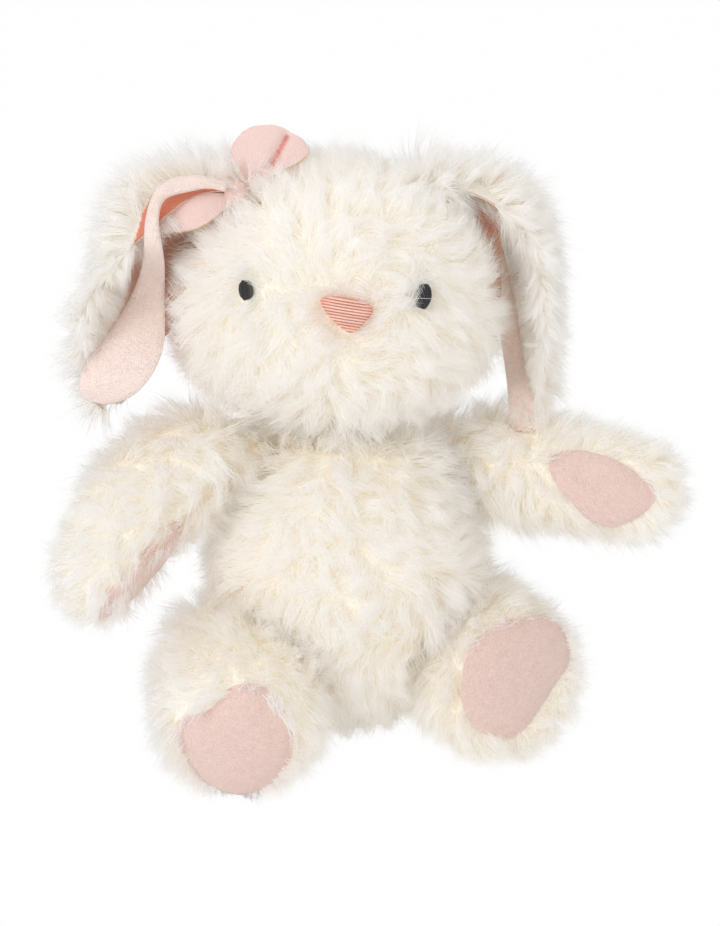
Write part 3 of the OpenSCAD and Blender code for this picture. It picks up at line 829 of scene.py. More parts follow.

# %% [markdown]
# ## The nose
# A soft triangle of satin stitch in rows that slant with the head. Every row is cut where it
# crosses the outline, and a darker ground shows between the rows: a darker copy of the pink
# thread, painted shade.

# %% The nose
NOSE = [(320, 300), (325, 296.5), (336, 296), (350, 298), (363, 301), (371, 306), (372, 312),
        (366, 320), (358, 328), (350, 332), (342, 328), (333, 320), (325, 311)]
nose_ring = smooth_ring(NOSE)
ring = np.array([meet(face_tree, x, y) for x, y in nose_ring])
nose_out = facing_out(ring)
NOSE_LIFT = 2.2 * MM
nose_base = crowned("nose_ground", ring + nose_out * NOSE_LIFT, nose_out, 1.2 * MM, 3.4 * MM,
                    pink_thread_painted_shade, "head", rim=0.4 * MM)
paths = []
slant = math.tan(math.radians(9))
middle_x, middle_y = nose_ring.mean(axis=0)
ROW_FIRST, ROW_LAST, ROW_STEP = 296.5, 334, 2.9     # in pixels of the photograph
for y in np.arange(ROW_FIRST, ROW_LAST, ROW_STEP):
    line = y + slant * (nose_ring[:, 0] - middle_x) - nose_ring[:, 1]
    cuts = []
    for k in range(len(line)):
        a, b = line[k], line[(k + 1) % len(line)]
        if a * b < 0:
            cuts.append(nose_ring[k, 0] + (nose_ring[(k + 1) % len(line), 0] - nose_ring[k, 0])
                        * a / (a - b))
    if len(cuts) >= 2 and max(cuts) - min(cuts) > 3:
        path = []
        for x in np.linspace(min(cuts) - 0.4, max(cuts) + 0.4, 18):
            at_y = y + slant * (x - middle_x)
            p = meet(face_tree, x, at_y)
            far = min(1.0, math.hypot((x - middle_x) / 26, (at_y - middle_y) / 19))
            stitch = 0.2 * MM * math.cos((x / 5.2 + y / 3.9) * 2 * math.pi)
            path.append(p + nose_out * (NOSE_LIFT + 1.25 * MM * (1 - far ** 2) + stitch))
        paths.append(np.array(path))
store(nose_base.data, "strand", np.zeros(len(nose_base.data.vertices)))
nose = threads("nose_stitches", paths, 0.38 * MM, pink_thread, "head")
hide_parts("nose")
clearings.append(Clearing(ring, nose_out, grow=0.93))
print("nose rows", len(paths), "faces", nose_out.round(2))

# %% [markdown]
# ## Paw pads and soles
# They are velour, sewn into the flat end of each limb and pushed out by the stuffing. A flat
# disc would look cut off. Each is a crowned pad, pinched by its seam where the photograph shows
# short folds. The right paw shows its pad from the edge, so that outline comes from the model.

# %% Where a pad is sewn in
def pad_place(pad, fill):
    """Middle and outward direction of a sole's flat face."""
    mesh = nodes[pad].data
    points, tris = points_of(mesh), triangles_of(mesh)
    cross = np.cross(points[tris[:, 1]] - points[tris[:, 0]], points[tris[:, 2]] - points[tris[:, 0]])
    out = unit(points.mean(axis=0) - middle(fill))
    for _ in range(3):
        facing = unit(cross) @ out > 0.97
        if not facing.any():
            facing = unit(cross) @ out > 0.8
        out = unit(cross[facing].sum(axis=0))
    rim = points[np.unique(tris[facing])]
    high = rim @ out
    rim = rim[high > high.max() - 0.0008]
    return rim.mean(axis=0), out


def seam_of(pad, fill):
    """Rim and outward direction of a pad that curves round the end of a paw."""
    p = points_of(nodes[pad].data)
    rel = p - p.mean(axis=0)
    axes = np.linalg.svd(rel, full_matrices=False)[2]
    out = axes[2] * np.sign((p.mean(axis=0) - middle(fill)) @ axes[2])
    u, v = axes[0], np.cross(out, axes[0])
    angle, reach = np.arctan2(rel @ v, rel @ u), np.hypot(rel @ u, rel @ v)
    ring = np.array([p[(reach + 0.2 * np.cos(angle - a)).argmax()]
                     for a in np.linspace(-np.pi, np.pi, 56, endpoint=False)])
    for _ in range(6):
        ring = (np.roll(ring, 1, axis=0) + 2 * ring + np.roll(ring, -1, axis=0)) / 4
    return ring, out


# %% [markdown]
# ## Outlines of the pads
# Each outline is a ring of image points. The pinches are image points too, each with its depth
# and its reach in millimetres. A sole lies on the flat face of its foot. The left paw's pad
# curves, so its outline is laid on the paw itself.

# %% Outlines of the pads
PADS = {
    "right_leg_sole": ([(250, 684), (266, 689), (280, 703), (290, 721), (295, 740), (293, 756),
                        (285, 770), (266, 788), (244, 796), (222, 792), (201, 781), (184, 758),
                        (177, 738), (179, 721), (193, 707), (208, 699), (228, 688)],
                       [(205, 702, 1.2, 4), (191, 727, 0.8, 4), (214, 712, 0.6, 6)]),
    "left_leg_sole": ([(533, 615), (508, 620), (485, 632), (471, 651), (463, 672), (461, 695),
                       (466, 715), (474, 727), (489, 736), (509, 741), (525, 732), (538, 715),
                       (551, 697), (562, 680), (570, 662), (571, 646), (560, 624), (548, 616)],
                      [(470, 652, 0.8, 4), (556, 690, 0.6, 5)]),
    "left_arm_pad": ([(548, 462), (560, 452), (576, 450), (595, 453), (613, 459), (636, 473),
                      (654, 488), (656, 497), (652, 506), (636, 519), (613, 528), (594, 523),
                      (576, 508), (556, 486)],
                     [(557, 487, 0.9, 4), (640, 476, 0.6, 4)]),
    "right_arm_pad": (None, []),
}
SOLE_CROWN, PAD_LIFT, PAD_RIM = 3.6 * MM, 1.0 * MM, 1.4 * MM
PAD_CLEAR, HIDDEN_PAD_CLEAR = 0.93, 0.54   # the pile of the right arm hangs over its pad
print("pads", {name: len(outline or []) for name, (outline, _) in PADS.items()})

# %% Pads and soles, sewn in
pads = {}
for name, (outline, pinches) in PADS.items():
    limb = name.rsplit("_", 1)[0]
    if limb.endswith("leg"):
        at, out = pad_place(name, limb + "_fill")
        ring = np.array([on_plane(x, y, at, out) for x, y in smooth_ring(outline)])
    elif outline:
        paw = tree_of(name, limb + "_outer_panel", limb + "_inner_panel")
        ring = np.array([meet(paw, x, y) for x, y in smooth_ring(outline)])
        at, out = ring.mean(axis=0), facing_out(ring)
    else:
        ring, out = seam_of(name, limb + "_fill")
        at = ring.mean(axis=0)
    dents = [(on_plane(x, y, at, out), deep * MM, reach * MM) for x, y, deep, reach in pinches]
    side, kind = limb.split("_")
    body = f"{kind}_{side}"
    rise = ((points_of(nodes[name].data) - ring.mean(axis=0)) @ out).max()
    crown = SOLE_CROWN if kind == "leg" else min(rise, 7 * MM) + 0.6 * MM
    made = crowned(name + "_velour", ring + out * PAD_LIFT, out, crown, 3.4 * MM, pink_velour, body,
                   rings=16, rim=PAD_RIM, dents=dents, round_off=2.6)
    with_modifier(made, "SUBSURF", levels=1)
    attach(made, body)
    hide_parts(name)
    pads[limb] = (at, out, Clearing(ring, out, grow=PAD_CLEAR if outline else HIDDEN_PAD_CLEAR))
    print(name, "faces", out.round(2), "across", (ring.max(axis=0) - ring.min(axis=0)).round(3))

# %% [markdown]
# ## The bow
# It is cut from felt with a thin pale edge. Its upper loop is a strip folded over on itself,
# fanned out from a knot hidden in the fur, with one crease. The lower one ends in a point. Each
# strip runs out from the knot and back behind itself, inside an outline from the photograph.

# %% Folded felt strips
knot_at = joints["bow_twist"]
bow_out = unit(np.array([-0.286, -0.882, 0.375]))
KNOT = (233, 187)
BOW_SUNK = 6.5 * MM      # behind the knot's joint, in the pile
HUB_DIVE = 7 * MM        # a strip dives this far into the knot


def grid_area(grid):
    """Area of a grid of points."""
    a, b = grid[1:, 1:] - grid[:-1, :-1], grid[1:, :-1] - grid[:-1, 1:]
    return np.linalg.norm(np.cross(a, b), axis=2).sum() / 2


def felt_strip(name, node, tip, upper, lower, puff, creases=(), rows=44, columns=33, deeper=0):
    """A strip folded over between an upper and a lower edge, given as image points."""
    bow_plane = knot_at - bow_out * (BOW_SUNK + deeper)
    hub, end = (on_plane(*p, bow_plane, bow_out) for p in (KNOT, tip))
    run = unit(end - hub)
    over = np.cross(bow_out, run)
    far = np.linalg.norm(end - hub)

    def edge(points):
        flat = np.array([on_plane(x, y, bow_plane, bow_out) for x, y in points]) - hub
        x, y = flat @ run, flat @ over
        order = np.argsort(x)
        return np.interp(np.linspace(0, far, rows), x[order], y[order])
    high, low = edge(upper), edge(lower)
    x = np.linspace(0, far, rows)
    s = x / far
    puffed = 0.5 * MM + puff * np.sin(np.pi * s ** 0.8) ** 0.8
    points, rim, crease_shade = [], [], []
    v = np.sign(np.linspace(-1, 1, columns)) * np.abs(np.linspace(-1, 1, columns)) ** 0.6
    for layer, order in ((1, range(rows)), (-1, reversed(range(rows)))):
        for k in order:
            y = (high[k] + low[k]) / 2 + (high[k] - low[k]) / 2 * v
            z = layer * puffed[k] * (1 - 0.35 * v ** 2)
            line = hub + run * x[k] + y[:, None] * over + z[:, None] * bow_out
            line = line - bow_out * (HUB_DIVE * (1 - s[k]) ** 3)
            shade = np.zeros(columns)
            for a, b, deep, reach in creases:
                a3, b3 = (on_plane(*p, bow_plane, bow_out) for p in (a, b))
                along = np.clip((line - a3) @ (b3 - a3) / ((b3 - a3) @ (b3 - a3)), 0, 1)
                gap = line - a3 - along[:, None] * (b3 - a3)
                gap -= (gap @ bow_out)[:, None] * bow_out
                fall = np.exp(-(np.linalg.norm(gap, axis=1) / reach) ** 2)
                line = line - bow_out * (deep * fall * (0.5 + 0.5 * layer))[:, None]
                shade = np.maximum(shade, fall)
            points.extend(line)
            rim.extend(np.abs(v) > 0.999)
            crease_shade.extend(shade)
    faces = [(i * columns + j, i * columns + j + 1, (i + 1) * columns + j + 1, (i + 1) * columns + j)
             for i in range(2 * rows - 1) for j in range(columns - 1)]
    made = solid(name, points, faces, felt)
    store(made.data, "edge", np.array(rim, dtype=float))
    # the crease mark, for the painted crease shade
    store(made.data, "fold", crease_shade)
    area = grid_area(np.array(points).reshape(2 * rows, columns, 3))
    with_modifier(made, "SOLIDIFY", thickness=0.9 * MM, offset=0)
    with_modifier(made, "SUBSURF", levels=1)
    bpy.context.view_layer.update()
    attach(made, "bow")
    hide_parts(node)
    return made


# %% [markdown]
# ## The knot
# A short felt wrap round the middle of the bow. It is nearly hidden, so it is a simple rounded
# block with folds, sunk into the pile of the head.

# %% The knot
KNOT_SUNK, KNOT_HALF = 10, (3.6, 3.9, 3.0)
AROUND, UP = 40, 15


def knot_point(a, b):
    """A wrapped knot: a rounded block, pulled in round its middle, with folds across it."""
    across = np.array([math.cos(a) * math.cos(b), math.sin(a) * math.cos(b), math.sin(b)])
    across = np.sign(across) * np.abs(across) ** 0.8
    fold = 1 + 0.06 * math.cos(9 * a) * math.cos(b) ** 2
    return across * np.array(KNOT_HALF) * MM * fold


upright = np.cross(bow_out, unit(np.array([math.cos(0.3), -math.sin(0.3), 0])))
knot_side = np.cross(upright, bow_out)
turns, rises = np.linspace(0, 2 * np.pi, AROUND, endpoint=False), np.linspace(-1.45, 1.45, UP)
points = [knot_at - KNOT_SUNK * MM * bow_out + q[0] * knot_side + q[1] * upright + q[2] * bow_out
          for b in rises for q in [knot_point(a, b) for a in turns]]
faces = [(i * AROUND + j, i * AROUND + (j + 1) % AROUND, (i + 1) * AROUND + (j + 1) % AROUND,
          (i + 1) * AROUND + j) for i in range(UP - 1) for j in range(AROUND)]
faces += [tuple(reversed(range(AROUND))), tuple((UP - 1) * AROUND + j for j in range(AROUND))]
knot = solid("bow_knot_wrap", points, faces, felt)
for mark in ("edge", "fold"):
    store(knot.data, mark, np.zeros(len(points)))
bpy.context.view_layer.update()
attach(knot, "bow")
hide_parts("bow_knot")
print("knot seen at", in_image(knot_at).round(1))

# %% [markdown]
# ## Loop and petal
# The loop lies deeper than the petal, because it stands up behind the head's pile. Its crease
# is a line between two image points, pressed in and coloured darker along its length: painted
# shade in the crease.

# %% Loop and petal
felt_strip("bow_upper_loop_felt", "bow_upper_loop", (303, 141),
           [(232, 182), (228, 160), (233, 143), (243, 132), (253, 127), (273, 125.5), (285, 129),
            (297, 136), (306, 144)],
           [(240, 194), (252, 188), (264, 179), (284, 171), (299, 163), (307, 156), (309, 148)],
           2.4 * MM, creases=[((287, 137), (273, 164), 2.6 * MM, 1.5 * MM)], deeper=4 * MM)
felt_strip("bow_lower_petal_felt", "bow_lower_petal", (161, 228),
           [(233, 190), (225, 192), (210, 193), (193, 197), (182, 203), (167, 217), (161, 226)],
           [(237, 197), (222, 210), (208, 223), (197, 229), (180, 232), (163, 231)], 1.5 * MM)

# %% [markdown]
# ## The ears
# An ear is two cloths sewn edge to edge, pile outside and velour inside, with nothing between,
# so it hangs and folds. The model sweeps it along a bend. The same sweep is repeated here, with
# finer steps, soft folds across the bend and a rolled edge. Then pile is planted on the back.

# %% The sweep of an ear, as in the construction model
EARS = {
    "right": dict(sign=-1, seat=(-32.57, 9.27, 187.48), rise=20, hang=84, sweep=-5, twist=52,
                  spread=0.3),
    "left": dict(sign=1, seat=(27.46, 0.21, 186.26), rise=10, hang=88, sweep=7, twist=4, spread=0),
}
EAR_LONG, EAR_HALF, EAR_ROOT, EAR_FOLD = 105 * MM, 18 * MM, 8.5 * MM, 7 * MM
BEND_SHARE, TURN_START, TURN_END, FOLD_START = 0.58, 0.3, 0.7, 0.3
TIP_ROUND, TIP_BLUNT = 3.2, 0.2


def ease(x):
    x = np.clip(x, 0, 1)
    return x * x * (3 - 2 * x)


def ear_frames(ear, s):
    """Middle line, direction, crosswise and outward vectors of an ear at shares s of its length."""
    sign, sweep = ear["sign"], math.radians(ear["sweep"])

    def way(s):
        lift = np.radians(ear["rise"] - (ear["rise"] + ear["hang"]) * ease(s / BEND_SHARE))
        return np.stack([sign * math.cos(sweep) * np.cos(lift), -math.sin(sweep) * np.cos(lift),
                         np.sin(lift)], axis=1)
    fine = np.linspace(0, 1, 481)
    line = np.array(ear["seat"]) * MM + np.vstack([np.zeros((1, 3)), np.cumsum(
        way((fine[1:] + fine[:-1]) / 2), axis=0) * EAR_LONG / 480])
    centre = np.stack([np.interp(s, fine, line[:, k]) for k in range(3)], axis=1)
    turn = np.radians(ear["twist"] * ease((s - TURN_START) / (TURN_END - TURN_START)))
    angle = sign * (turn - sweep)
    across = np.stack([np.sin(angle), -np.cos(angle), 0 * s], axis=1)
    return centre, way(s), across, sign * unit(np.cross(across, way(s)))


def ear_half(s):
    tip = EAR_HALF * np.maximum(TIP_BLUNT, np.sqrt(np.maximum(
        0, 1 - np.abs(2 * s - 1) ** TIP_ROUND)))
    return np.where(s < 0.5, EAR_ROOT + (EAR_HALF - EAR_ROOT) * ease(2 * s), tip)


def ear_at(ear, s, u, height):
    """Points of an ear, u from -1 to 1 across it and height above the face where cloths meet.
    The real right ear is relaxed and spreads a little towards the head in its lower part."""
    centre, _, across, out = ear_frames(ear, s)
    wide = 1 + ear["spread"] * ease((s - 0.25) / 0.25) * (u < 0)
    dip = EAR_FOLD * u * u * ease(s / FOLD_START) * (1 - s / 2)
    rise = height * (1 - 0.6 * u ** 4) - dip
    return centre + (u * wide * ear_half(s))[:, None] * across + rise[:, None] * out


# %% [markdown]
# ## The cloths of an ear
# A sheet of cloth has two faces and an edge all round. Both layers are the same grid, so one
# helper joins them into a closed mesh. The flat area is measured on the grid as it is made.

# %% The cloths of an ear
def closed_sheet(rows, columns):
    """Faces of a closed sheet made of two grids of points, the top one first."""
    size = rows * columns
    faces = []
    for i in range(rows - 1):
        for j in range(columns - 1):
            q = [i * columns + j, i * columns + j + 1, (i + 1) * columns + j + 1,
                 (i + 1) * columns + j]
            faces += [q, [size + k for k in reversed(q)]]
    border = ([(0, j) for j in range(columns)] + [(i, columns - 1) for i in range(1, rows)]
              + [(rows - 1, j) for j in range(columns - 2, -1, -1)]
              + [(i, 0) for i in range(rows - 2, 0, -1)])
    border = [i * columns + j for i, j in border]
    return faces + [[b, a, size + a, size + b] for a, b in zip(border, border[1:] + border[:1])]


def ear_cloth(name, ear, low, high, finish, body, folds, first=0.0, rows=90, columns=25):
    """A closed sheet of an ear between two heights, with soft folds, and its flat area."""
    s, u = np.meshgrid(np.linspace(first, 1, rows), np.linspace(-1, 1, columns), indexing="ij")
    s, u = s.ravel(), u.ravel()
    wave = folds * (np.sin(26 * s + 3 * u) * 0.5 + np.sin(61 * s - 5 * u + 1)) * ease(s * 4) \
        * (1 - 0.7 * u ** 2)
    top, under = ear_at(ear, s, u, high + wave), ear_at(ear, s, u, low + wave)
    made = solid(name, np.vstack([top, under]), closed_sheet(rows, columns), finish)
    with_modifier(made, "SUBSURF", levels=1)
    bpy.context.view_layer.update()
    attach(made, body)
    return made, grid_area(top.reshape(rows, columns, 3))


# %% [markdown]
# ## What shows of a lining
# The photograph looks into both ears. An outline per ear says where the lining shows and no
# pile may grow. It is a picture outline, not a place on the cloth, so a point is tested by
# where it shows.

# %% What shows of a lining
class SeenClearing:
    """A part of the picture that an ear's pile leaves free, as a closed outline."""

    def __init__(self, outline):
        self.outline, self.behind = np.array(outline, dtype=float), 0

    def holds(self, points, share=1.0, level=0.0):
        x, y = in_image(points).T
        inside = np.zeros(len(points), dtype=bool)
        for a, b in zip(self.outline, np.roll(self.outline, -1, axis=0)):
            crosses = (a[1] > y) != (b[1] > y)
            at = a[0] + (y - a[1]) * (b[0] - a[0]) / np.where(crosses, b[1] - a[1], 1)
            inside ^= crosses & (x < at)
        return inside


SHOWN_LINING = {
    "right": [(232, 187), (213, 184), (187, 182), (164, 186), (152, 196), (143, 212), (137, 233),
              (131, 257), (130, 277), (125, 300), (118, 317), (105, 338), (87, 358), (79, 377),
              (80, 392), (84, 404), (130, 398), (156, 364), (172, 337), (176, 268), (200, 240),
              (232, 200)],
    "left": [(470, 180), (484, 184), (495, 205), (499, 227), (504, 250), (511, 275), (517, 305),
             (521, 335), (527, 370), (535, 400), (541, 429), (537, 436), (507, 433), (503, 400),
             (496, 340), (488, 300), (484, 221)],
}
print("lining outlines", {side: len(outline) for side, outline in SHOWN_LINING.items()})

# %% [markdown]
# ## The rolled edge of a lining
# The pale part of each lining rolls outwards, from the seam of the ear down to its tip, and is
# painted paler than the rest of the lining: painted light on the ridge. A thin flap would look like
# paper. It is a thick strip between two edges, given as pairs of image points, that lies just in
# front of the deepest cloth behind it and waves a little.

# %% The rolled edge of a lining
ROLL_LIFT, ROLL_THICK = 2.2 * MM, 1.7 * MM
TURNED_LINING = {
    "right": [(229, 183, 226, 193), (213, 178, 208, 188), (187, 174, 190, 193),
              (164, 181, 167, 197), (153, 194, 161, 207), (147, 212, 159, 220),
              (144, 233, 161, 237), (145, 257, 165, 257), (140, 277, 166, 277),
              (130, 300, 165, 300), (117, 323, 166, 322), (103, 342, 166, 344),
              (88, 360, 159, 365), (80, 376, 148, 384), (79, 389, 130, 401), (84, 399, 104, 405)],
    "left": [(493, 236, 498, 236), (494, 250, 503, 250), (494, 275, 509, 275), (497, 305, 515, 305),
             (500, 340, 520, 336), (505, 370, 526, 370), (508, 400, 534, 400),
             (509, 424, 539, 426), (513, 431, 537, 432)],
}


def turned_lining(name, side, forward=0.0):
    """A thick strip between two edges. forward, in mm, brings its tip in front of the arm."""
    marks = np.array(TURNED_LINING[side], dtype=float)
    cloth = tree_of(f"{side}_ear_lining", f"{side}_ear_back")
    to_eye, rows, columns = np.array(back), 90, 15
    t = np.linspace(0, len(marks) - 1, rows)
    line = np.stack([np.interp(t, np.arange(len(marks)), marks[:, k]) for k in range(4)], axis=1)
    for _ in range(12):
        line[1:-1] = (line[:-2] + 2 * line[1:-1] + line[2:]) / 4
    deep = np.array([max((meet(cloth, *(q[:2] * (1 - f) + q[2:] * f)) - AIM) @ to_eye
                         for f in (0, 0.25, 0.5, 0.75, 1)) for q in line])
    deep = np.array([deep[max(0, k - 7):k + 8].max() for k in range(rows)])
    for _ in range(40):
        deep[1:-1] = (deep[:-2] + 2 * deep[1:-1] + deep[2:]) / 4
    deep += forward * MM * np.clip(t / t[-1] * 2.5 - 1.5, 0, 1)
    v = np.linspace(-1, 1, columns)
    layers = []
    for layer in (1, -1):
        for k, (xa, ya, xb, yb) in enumerate(line):
            at = np.array(AIM) + to_eye * deep[k]
            a, b = on_plane(xa, ya, at, to_eye), on_plane(xb, yb, at, to_eye)
            wide = np.linalg.norm(b - a)
            high = min(ROLL_THICK, 0.35 * wide)
            wave = 0.25 * MM * np.sin(31 * k / rows + 3 * v)
            lift = ROLL_LIFT + np.where(layer > 0, high + wave * (1 - v * v), -0.3 * MM) \
                * np.sqrt(np.maximum(0, 1 - np.abs(v) ** 3))
            layers.append(a + (b - a) * ((v + 1) / 2)[:, None] + lift[:, None] * to_eye)
    made = solid(name, np.vstack(layers), closed_sheet(rows, columns), edge_velour_painted_light)
    made.data.update()
    if points_of(made.data, "normal")[columns * 45 + 7] @ to_eye < 0:
        made.data.flip_normals()
    with_modifier(made, "SUBSURF", levels=1)
    bpy.context.view_layer.update()
    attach(made, "ear_" + side)
    return made


# %% [markdown]
# ## The fold in the pocket
# The far half of each lining is folded back towards the head and lies in shade. It is a dented
# pad behind the rolled edge, in a darker copy of the lining velour: painted shade. A stored
# number, 1 at the top and 0 lower down, turns its colour further to the deep red of the painted
# shade in the pocket.

# %% The fold in the pocket
FOLDED = {
    "right": ((-64.6, 21.4, 176.1), (240, 215),
              [(156, 196), (182, 187), (208, 185), (230, 190), (228, 214), (212, 236), (196, 258),
               (186, 285), (176, 312), (168, 334), (158, 334), (154, 300), (152, 250), (150, 212)]),
    "left": ((44.0, -5.0, 172.0), (240, 200),
             [(468, 188), (484, 184), (497, 205), (501, 235), (502, 270), (500, 300), (490, 300),
              (484, 270), (480, 240), (474, 212)]),
}
for side, (at, (low, top), outline) in FOLDED.items():
    at = np.array(at) * MM
    ring = np.array([on_plane(x, y, at, bow_out) for x, y in smooth_ring(outline)])
    fold = crowned(f"{side}_ear_lining_fold", ring, bow_out, -2.5 * MM, 3.6 * MM, shade_painted_velour,
                   "ear_" + side, rings=14, rim=0.5 * MM)
    down = in_image(points_of(fold.data))[:, 1]
    # painted shade: the fold is painted deep red high up in the pocket, less so in the left ear
    store(fold.data, "pocket_shade", np.clip((low - down) / (low - top), 0, 0.9 if side == "right" else 0.3))
    print(side, "fold round", np.round(at, 3))

# %% [markdown]
# ## Ear cloths
# Each ear gets its backing and its lining. Where pile covers the lining it is coloured like the
# backing, so that no pink shows between the hairs. The flat area of each cloth is measured on its
# grid and printed.

# %% Ear cloths
EDGE_FORWARD = {"right": 0.0, "left": 8.5}
POCKET_LOW = 250    # the painted pocket shade ends at this y of the photograph
back_areas = {}
for side, ear in EARS.items():
    body = "ear_" + side
    back_cloth, back_area = ear_cloth(f"{side}_ear_back_cloth", ear, 0.15 * MM, 1.1 * MM,
                                      ear_backing, body, 0.3 * MM)
    lining, lining_area = ear_cloth(f"{side}_ear_lining_cloth", ear, -1.5 * MM, -0.1 * MM,
                                    lining_velour, body, 0.45 * MM, first=0.04)
    edge = turned_lining(f"{side}_ear_turned_lining", side, EDGE_FORWARD[side])
    shown = SeenClearing(SHOWN_LINING[side])
    store(lining.data, "covered", ~shown.holds(points_of(lining.data)))
    # painted shade: high in the right ear, where the lining shows, the back cloth is painted the deep
    # red of the pocket's shade
    p = points_of(back_cloth.data)
    store(back_cloth.data, "pocket_shade",
          shown.holds(p) & (in_image(p)[:, 1] < POCKET_LOW) & (side == "right"))
    for cloth, part, area, slot in ((back_cloth, "back", back_area, "pile_fabric"),
                                    (lining, "lining", lining_area, "velour")):
        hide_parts(f"{side}_ear_{part}")
        print(side, part, "area", round(area * 1e6), "mm2")
    back_areas[side] = back_area

# %% [markdown]
# ## Pile of the ears
# Hairs are planted on both faces and round the edge, where they fan out. The roll at the root,
# where the ear is sewn to the head, gets its own spokes of hair. They are split into a front
# and a back coat, because only the front one has to keep clear of the lining.

# %% Pile of the ears
EAR_FUR = 0.0095
FACE_HAIRS, EDGE_HAIRS = 400, 180   # a square centimetre of the back cloth
ROLL = 3.6 * MM


def flow_along(ear):
    """The way pile lies on an ear: towards its tip."""
    s = np.linspace(0, 1, 60)
    centre, way, _, _ = ear_frames(ear, s)

    def flow(points):
        near = np.argmin(np.linalg.norm(points[:, None] - centre[None], axis=2), axis=1)
        return way[near] + np.array([0, 0, -0.15])
    return flow


rng = np.random.default_rng(5)
for side, ear in EARS.items():
    body, shown, planted = "ear_" + side, SeenClearing(SHOWN_LINING[side]), []
    for face_side in (1, -1, 0):
        count = int(back_areas[side] * 1e4 * (FACE_HAIRS if face_side else EDGE_HAIRS))
        s, u = rng.uniform(-0.03, 1, count), rng.uniform(-1, 1, count)
        keep = rng.uniform(size=count) < ear_half(np.clip(s, 0, 1)) / EAR_HALF * 1.05
        s, u = np.clip(s[keep], 0, 1), u[keep]
        angle = np.full(len(s), face_side * np.pi / 2)
        if face_side == 0:
            u, angle = np.sign(u), rng.uniform(-1.3, 1.3, len(s))
        roots = ear_at(ear, s, u, face_side * 1.2 * MM - 0.2 * MM)
        _, way, across, out = ear_frames(ear, s)
        inner = (side == "right") & (across[:, 0] * u > 0) & (s > 0.2)
        fan = np.where(face_side, u ** 5 * 1.8, u * np.cos(angle)) * np.where(inner, 0.1, 1)
        normals = unit(np.sin(angle)[:, None] * out + way * (ease((s - 0.9) * 10) * 0.7)[:, None]
                       + across * fan[:, None])
        kept = ~inner if face_side < 0 else (~inner & ~shown.holds(roots)) | (face_side > 0)
        planted.append((roots[kept], normals[kept]))
    rolled = int(len(planted[0][0]) * 0.12)
    a, b = rng.uniform(0, 2 * np.pi, rolled), rng.uniform(-1, 1, rolled)
    centre, way0, across0, out0 = (v[0] for v in ear_frames(ear, np.array([0.0])))
    spokes = np.cos(a)[:, None] * way0 + np.sin(a)[:, None] * out0
    roll = centre + spokes * ROLL + across0 * (b * EAR_ROOT * 1.1)[:, None]
    upper = spokes @ out0 > -0.35
    planted.append((roll[upper], unit(spokes + across0 * (b ** 3)[:, None])[upper]))
    roots, normals = (np.vstack([p[k] for p in planted]) for k in (0, 1))
    seen = normals @ np.array(back) > 0
    bare = shown.holds(roots) & seen
    for part, those in (("back", ~seen & ~bare), ("front", seen & ~bare)):
        pile(f"{side}_ear_{part}_pile", body, roots[those], normals[those], flow_along(ear),
             lambda p: EAR_FUR + 0.005 * ease((p[:, 2] - 0.165) / 0.02), cream_pile,
             seed=61 + ear["sign"], swirl=0.5, lean=1.0, wisps=0.04, clearings=[
                 SeenClearing(shown.outline + [-4 * ear["sign"], 3])] if part == "front" else [])

# %% [markdown]
# ## Planting the pile
# Each skin has its own lie. On the head the pile runs out from the nose, with a whorl under it.
# It falls down the body and runs along each limb to the seam of the pad.

# %% Pile of the torso, neck and tail
BODY_LONG = 0.0108
DENSE = 270


def flow_down(points):
    out = 0.4 * (points - [0, 0, 0.07]) / 0.05 * [1, 0.4, 0]
    return np.tile([0.0, -0.15, -1.0], (len(points), 1)) + out


def long_torso(points):
    """Longer round the neck and shoulders, where the pile of three bags meets."""
    return BODY_LONG * (0.6 + 0.4 * ease(points[:, 2] / 0.035)) \
        + 0.005 * ease((points[:, 2] - 0.075) / 0.025)


roots, normals = scattered(skins["torso"].data, DENSE, rng)
off_base = roots[:, 2] > 0.006
# under 200,000 triangles, so that its STL isn't thinned
off_base[::16] = False  # every 16th root is dropped, which keeps the coat under 200,000 triangles
pile("torso_pile", "torso", roots[off_base], normals[off_base], flow_down, long_torso, cream_pile,
     seed=11, swirl=1.25)
roots, normals = scattered(skins["neck"].data, DENSE * 0.8, rng)
pile("neck_pile", "neck", roots, normals, flow_down, 0.015, cream_pile, seed=15, swirl=0.9,
     lean=0.9)
tail_way = unit(middle("tail_cover") - joints["tail_wag"])
roots, normals = scattered(skins["tail"].data, DENSE, rng)
pile("tail_pile", "tail", roots, normals, lambda p: np.tile(tail_way + [0, 0, -0.2], (len(p), 1)),
     0.010, cream_pile, seed=51, lean=1.15)

# %% [markdown]
# ## Pile of the head
# Hair runs away from the nose and turns in a whorl under it, as in the photograph. It is short
# round the nose and long under the chin.

# %% Pile of the head
CHIN = meet(face_tree, 346, 367)
face = middle("nose")


def flow_head(points):
    away = unit(points - face)
    whorl = unit(points - CHIN)
    near = np.exp(-(np.linalg.norm(points - CHIN, axis=1) / 0.022) ** 2)[:, None]
    return away * (1 - near) + 1.4 * near * whorl + np.array([0, 0, -0.35])


def long_head(points):
    """Short round the nose, longer under the chin and at the back."""
    near = np.exp(-(np.linalg.norm(points - face, axis=1) / 0.018) ** 2)
    under = np.clip((0.128 - points[:, 2]) / 0.02, 0, 1)
    return 0.0112 * (1 - 0.35 * near) + 0.004 * under


roots, normals = scattered(skins["head"].data, DENSE, rng)
pile("head_pile", "head", roots, normals, flow_head, long_head, cream_pile, seed=21, swirl=0.9,
     clearings=clearings)

# %% [markdown]
# ## The tuft over the knot
# In the photograph the pile of the head closes over the knot of the bow. Extra hairs are planted
# round it, inside an outline, and all of them point at the knot.

